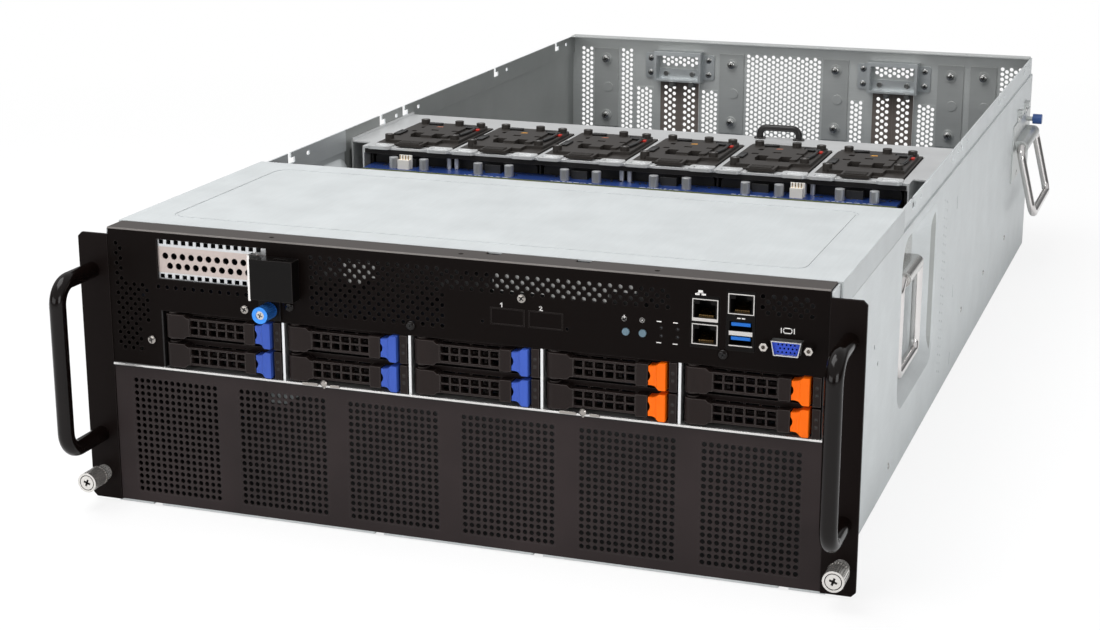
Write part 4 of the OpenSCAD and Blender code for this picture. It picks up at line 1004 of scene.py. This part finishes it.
class SERVER_OT_ports(bpy.types.Operator):
    """Finish the ports, buttons and slot covers and fit the ports' contacts"""

    bl_idname = "server.ports"
    bl_label = "Ports and covers"

    def execute(self, context):
        jacks = ((LEFT_JACKS_X, 144.0), (LEFT_JACKS_X, 158.2), (RIGHT_JACK_X, 162.8))
        black = (0.0035, 0.0028, 0.0026)
        bright = (0.55, 0.53, 0.51)

        def shell_rims(x, y, z):
            """The bent edges of the shells, bright round their black mouldings."""
            shells = [(LEFT_JACKS_X, 138.6, 150.4), (LEFT_JACKS_X, 153.2, 164.6)]
            shells += [(RIGHT_JACK_X, 157.6, 169.2)]
            rims = []
            for cx, low, high in shells:
                outer = x.near(cx, 7.35) * z.within(low, high)
                rims.append(outer * (1 - x.near(cx, 6.8) * z.within(low + 0.5, high - 0.55)))
            rims.append(x.near(LEFT_JACKS_X, 7.35) * z.within(151.9, 153.7))
            rims.append(x.near(RIGHT_JACK_X, 6.6) * either(z.within(145.7, 148.1), z.within(139.5, 140.1)))
            return either(*rims) * (y < FACE + 0.1)

        def tongues(x, y, z):
            """The blue tongues of the two serial ports."""
            levels = either(z.within(142.95, 144.95), z.within(150.95, 152.95))
            return x.near(RIGHT_JACK_X, 5.45) * levels * (y > FACE - 0.05)

        def display_moulding(x, y, z):
            """Everything inside the display port's tapered shell."""
            cx, cz = DISPLAY_PORT
            return (abs(x - cx) < 7.1 + (z - cz) * 0.22) * z.near(cz, 3.5) * (y < 1.7)

        tin = patched(
            "port_shells",
            ((0.50, 0.50, 0.50), 0.3, 0.95),
            (lambda x, y, z: x.near(BUTTONS_X[0], 4.7) + x.near(BUTTONS_X[1], 4.7), black, 0.4, 0.0),
            (lambda x, y, z: x.within(143, 181), black, 0.35, 0.0),
            (shell_rims, bright, 0.3, 0.6),
            (tongues, (0.02, 0.14, 0.52), 0.3, 0.0),
            # the display port's moulding is black behind its rim and blue at its face
            (display_moulding, black, 0.38, 0.0),
            (lambda x, y, z: display_moulding(x, y, z) * (y < FACE - 3.3), (0.040, 0.085, 0.52), 0.38, 0.0),
            # its two posts
            (lambda x, y, z: x.near(186.1, 3) + x.near(211.1, 3), (0.50, 0.47, 0.44), 0.22, 1.0),
            grain_mm=0.6,
            gloss=0.08,
        )
        dress(tin, "io_ports")

        gold = polished("contact_gold", (0.80, 0.50, 0.20), 0.22)
        contacts = Shape()
        for cx, cz in jacks:
            for k in range(8):
                x = cx + (k - 3.5) * 1.05
                spring = [(3.0, cz - 4.1), (3.0, cz - 3.4), (10.5, cz - 0.8), (10.5, cz - 1.5)]
                contacts.prism(spring, (x - 0.22, 0, 0), "X", 0.44)
        contacts.piece("jack_contacts", "chassis", "connector_metal", gold)
        slot = patched(
            "cover_plates",
            (tuple(context.scene.server_finishes.slot), 0.34, 0.85),
            # the card slot's pierced plate
            (
                lambda x, y, z: y.within(1.9, 2.9) * z.within(TOP - 25.6, TOP - 9.6),
                (0.50, 0.43, 0.40), 0.4, 0.75,
            ),
            # the rear slots' covers and the bracket frames above them
            (lambda x, y, z: (y > 860) * (z < TOP - 40.9), (0.17, 0.146, 0.132), 0.42, 0.1),
            (lambda x, y, z: (y > 860) * (z > TOP - 40.5), (0.62, 0.65, 0.66), 0.34, 0.8),
            # the retainer's black box and the chrome strip beside it
            (
                lambda x, y, z: x.within(RETAINER_EDGE, -93) * (y < FACE + 0.1),
                (0.0030, 0.0024, 0.0022), 0.3, 0.0,
            ),
            (lambda x, y, z: (x < RETAINER_EDGE) * (y < FACE + 0.1), (0.78, 0.76, 0.74), 0.12, 1.0),
            stretch=(0.06, 1, 1),
            edge_mm=0.15,
            gloss=0.1,
            # lift paints a highlight along sharp edges
            lift=0.04,
        )
        dress(slot, "slot_covers")
        button = moulded("button_plastic", (0.10, 0.16, 0.20), 0.3)
        dress(button, "power_button", "id_button")
        return {"FINISHED"}


class SERVER_OT_handles(bpy.types.Operator):
    """Finish the folding handles and the screws that turn, and cut their threads"""

    bl_idname = "server.handles"
    bl_label = "Handles and screws"

    def execute(self, context):
        tint, size = context.scene.server_finishes, context.scene.server_hardware
        chrome = polished("chrome", (0.66, 0.64, 0.63))
        dress(chrome, "rear_handle_left", "rear_handle_right", "pocket_handle_left", "pocket_handle_right")
        nickel = polished("nickel", (0.62, 0.60, 0.57), 0.2)

        def shaded_cross_and_groove(x, y, z):
            """Painted shade in the driver's cross and the turned groove in each rack screw's face."""
            out = abs(x) - RACK_SCREW_X
            across = out * out + (z - 18) * (z - 18)
            cross = (y > -20.85) * (across < 7.3)
            groove = (y > -20.9) * across.within(18.5, 24.5)
            return (y < -18.4) * either(cross, groove)

        knob = patched(
            "rack_screw_nickel",
            ((0.66, 0.64, 0.61), 0.22, 0.85),
            (shaded_cross_and_groove, (0.03, 0.028, 0.026), 0.5, 0.2),
        )
        dress(knob, "rack_screw_left", "rack_screw_right")

        def release_knobs(x, y, z):
            """The blue knobs of the rear handles' brackets."""
            return y.near(848, 6) * z.near(124, 5) * (abs(x) > HALF_W + 5.7)

        brackets = patched(
            "bracket_steel",
            (tuple(tint.rear), 0.36, 0.85),
            # the pockets' brackets are plated
            (lambda x, y, z: y < 400, (0.66, 0.65, 0.63), 0.2, 1.0),
            (release_knobs, (0.040, 0.092, 0.27), 0.35, 0.0),
        )
        dress(brackets, "handle_brackets")

        def screw_end(x, y, z):
            """The screw's own steel end, which shows in the knob."""
            across, up = x - RETAINER_SCREW[0], z - RETAINER_SCREW[1]
            return across * across + up * up < 6.8

        anodised = patched(
            "blue_anodised", ((0.055, 0.27, 0.80), 0.3, 0.75), (screw_end, (0.52, 0.50, 0.48), 0.3, 1.0)
        )
        dress(anodised, "retainer_screw")
        pitch = size.thread_pitch / MM
        for side, name in ((-1, "rack_screw_left"), (1, "rack_screw_right")):
            middle, turns, steps, radius = side * RACK_SCREW_X, 11, 20, 2.52
            angles = [math.tau * k / steps for k in range(turns * steps)]
            path = [
                (middle + radius * math.cos(a), 2.6 + pitch * a / math.tau, 18 + radius * math.sin(a))
                for a in angles
            ]
            Shape().tube(path, 0.24, 6).piece(name + "_thread", name, "nickel", nickel)
        screw_steel = steel("handle_screws", (0.55, 0.55, 0.54), 0.3, 0.9, (1, 1, 1), 0.05)
        heads = Shape()
        for s in (-1, 1):
            for y in (786, 834):
                for z in (86, 134):
                    rivet(heads, (s * (HALF_W + 1.2), y, z), 2.6, "X", s, 0.9)
        heads.piece("bracket_rivets", "chassis", "nickel", screw_steel)
        return {"FINISHED"}


class SERVER_OT_power_supplies(bpy.types.Operator):
    """Finish the power supplies, with their inlets and status lights"""

    bl_idname = "server.power_supplies"
    bl_label = "Power supplies"

    def execute(self, context):
        black = moulded("inlet_black", (0.012, 0.012, 0.012), 0.35)
        green = moulded("status_lens", (0.04, 0.30, 0.08), 0.2, 0.3, 0)
        for name in ("power_supply_left", "power_supply_right"):
            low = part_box(name)[0]
            left, floor_z, back = low.x / MM, low.z / MM, REAR

            def inlet_well(x, y, z):
                deep = y.within(back - 17, back + 0.95)
                return x.within(left + 45.9, left + 68.1) * z.within(floor_z + 5.9, floor_z + 22.1) * deep

            def fan_well(x, y, z):
                deep = y.within(back - 3.5, back - 1.3)
                return deep * x.near(left + 22, 15.2) * z.near(floor_z + 19.5, 15.2)

            case = patched(
                name + "_case",
                ((0.44, 0.46, 0.47), 0.36, 0.9),
                (inlet_well, (0.012, 0.012, 0.012), 0.4, 0.0),
                (fan_well, DULL_BLACK, 0.5, 0.0),
                # the pull
                (lambda x, y, z: y > back + 1.05, (0.015, 0.014, 0.014), 0.4, 0.0),
            )
            dress(case, name)
            rim = Shape()
            corners = [(45.2, 5.2), (68.8, 5.2), (68.8, 22.8), (45.2, 22.8)]
            for a, b in zip(corners, corners[1:] + corners[:1]):
                lo = (left + min(a[0], b[0]) - 0.4, back + 0.9, floor_z + min(a[1], b[1]) - 0.4)
                hi = (left + max(a[0], b[0]) + 0.4, back + 1.8, floor_z + max(a[1], b[1]) + 0.4)
                rim.block(lo, hi, 0.2)
            rim.piece(name + "_inlet_rim", name, "psu_steel", black)
            lamp = Shape()
            lamp.lathe((left + 40, back + 0.9, floor_z + 33), [(0, 1.3), (0.5, 1.2), (0.8, 0.6)], "Y", 20)
            lamp.piece(name + "_status_light", name, "button_plastic", green)
        return {"FINISHED"}


class SERVER_OT_studio(bpy.types.Operator):
    """Build the pale studio, its light and the camera"""

    bl_idname = "server.studio"
    bl_label = "Studio"

    def execute(self, context):
        studio = context.scene.server_studio
        scene = context.scene
        scene.view_settings.view_transform = "Standard"

        finish = Finish("studio_floor", base_color=(0.88, 0.88, 0.88), roughness=0.9)
        # the floor keeps its shading near the server and fades to white further out
        reach = finish.node("ShaderNodeVectorMath", {"operation": "LENGTH"}, {0: finish.point()}, "Value")
        fading = {"Value": reach, "From Min": 0.55, "From Max": 1.5, "To Min": 0.80, "To Max": 1.0}
        fade = finish.node("ShaderNodeMapRange", None, fading)
        share = finish.node("ShaderNodeLightPath", output="Is Camera Ray") * fade
        glow = finish.node("ShaderNodeEmission", None, {"Color": WHITE, "Strength": 1.0})
        own = Value(finish, finish.shader.outputs[0])
        mixed = finish.node("ShaderNodeMixShader", None, {0: share, 1: own, 2: glow})
        finish.link(mixed, next(n for n in finish.tree.nodes if n.type == "OUTPUT_MATERIAL").inputs[0])

        bm = bmesh.new()
        bmesh.ops.create_circle(bm, cap_ends=True, segments=64, radius=9.0)
        mesh = bpy.data.meshes.new("studio_floor")
        bm.to_mesh(mesh)
        bm.free()
        floor = bpy.data.objects.new("studio_floor", mesh)
        floor.location.z = -0.0004
        mesh.materials.append(finish.material)
        scene.collection.objects.link(floor)

        world = bpy.data.worlds.new("studio_room")
        scene.world = world
        world.use_nodes = True
        room = Tree(world.node_tree)
        sky = room.node("ShaderNodeTexCoord", output="Generated")
        height = room.node("ShaderNodeSeparateXYZ", None, {0: sky}, "Z")
        # dark band low round the room, so that polished metal has something to show
        levels = ((0.0, 0.55), (0.50, 0.55), (0.53, 0.16), (0.60, 0.30), (0.70, 0.95), (1.0, 1.15))
        stops = [(stop, tinted((1, 1, 1.01), level * studio.room)) for stop, level in levels]
        shade = room.node("ShaderNodeValToRGB", {"stops": stops}, {0: (height + 1) / 2})
        seen = room.node("ShaderNodeLightPath", output="Is Camera Ray")
        room.link(room.blend(seen, shade, WHITE), world.node_tree.nodes["Background"].inputs[0])

        for name, power, size, place, target in (
            ("top_light", studio.key, (1.6, 1.2), (-0.5, -0.6, 1.9), (0, 0, 0)),
            ("side_light", studio.fill, (1.0, 0.8), (1.6, -1.8, 0.6), (0.25, -0.4, 0.1)),
            ("front_light", studio.front, (1.6, 0.5), (-0.9, -2.0, 0.5), (0, -0.4, 0.1)),
        ):
            lamp = bpy.data.lights.new(name, "AREA")
            lamp.shape = "RECTANGLE"
            lamp.size, lamp.size_y = size
            lamp.energy = power
            made = bpy.data.objects.new(name, lamp)
            made.location = place
            made.rotation_euler = (Vector(target) - Vector(place)).to_track_quat("-Z", "Y").to_euler()
            scene.collection.objects.link(made)

        az, el = studio.azimuth, studio.elevation
        right = Vector((math.cos(az), math.sin(az), 0))
        back_way = Vector((math.sin(az) * math.cos(el), -math.cos(az) * math.cos(el), math.sin(el)))
        up = back_way.cross(right)
        lens = bpy.data.cameras.new("camera")
        lens.lens = studio.lens
        lens.sensor_width = 36
        lens.clip_start = 0.05
        camera = bpy.data.objects.new("camera", lens)
        turn = Matrix((right, up, back_way)).transposed().to_4x4()
        camera.matrix_world = Matrix.Translation(at(434, -1056, 462)) @ turn
        scene.collection.objects.link(camera)
        scene.camera = camera
        return {"FINISHED"}


OPERATORS = (
    SERVER_OT_sheet_metal,
    SERVER_OT_black_front,
    SERVER_OT_drive_trays,
    SERVER_OT_fans,
    SERVER_OT_boards,
    SERVER_OT_ports,
    SERVER_OT_handles,
    SERVER_OT_power_supplies,
    SERVER_OT_studio,
)


class SERVER_PT_panel(bpy.types.Panel):
    """Lists the server's settings and build steps"""

    bl_idname = "SERVER_PT_panel"
    bl_label = "Rack server"
    bl_space_type = "VIEW_3D"
    bl_region_type = "UI"
    bl_category = "Server"

    def draw(self, context):
        layout = self.layout
        scene = context.scene
        for group in (scene.server_finishes, scene.server_hardware, scene.server_studio):
            box = layout.box()
            for key in group.__annotations__:
                box.prop(group, key)
        for operator in OPERATORS:
            layout.operator(operator.bl_idname)


CLASSES = (ServerFinishes, ServerHardware, ServerStudio, *OPERATORS, SERVER_PT_panel)


def register():
    for cls in CLASSES:
        bpy.utils.register_class(cls)
    bpy.types.Scene.server_finishes = bpy.props.PointerProperty(type=ServerFinishes)
    bpy.types.Scene.server_hardware = bpy.props.PointerProperty(type=ServerHardware)
    bpy.types.Scene.server_studio = bpy.props.PointerProperty(type=ServerStudio)


def unregister():
    del bpy.types.Scene.server_finishes
    del bpy.types.Scene.server_hardware
    del bpy.types.Scene.server_studio
    for cls in reversed(CLASSES):
        bpy.utils.unregister_class(cls)


def main():
    register()
    for operator in OPERATORS:
        group, name = operator.bl_idname.split(".")
        getattr(getattr(bpy.ops, group), name)()


if __name__ == "__main__":
    main()
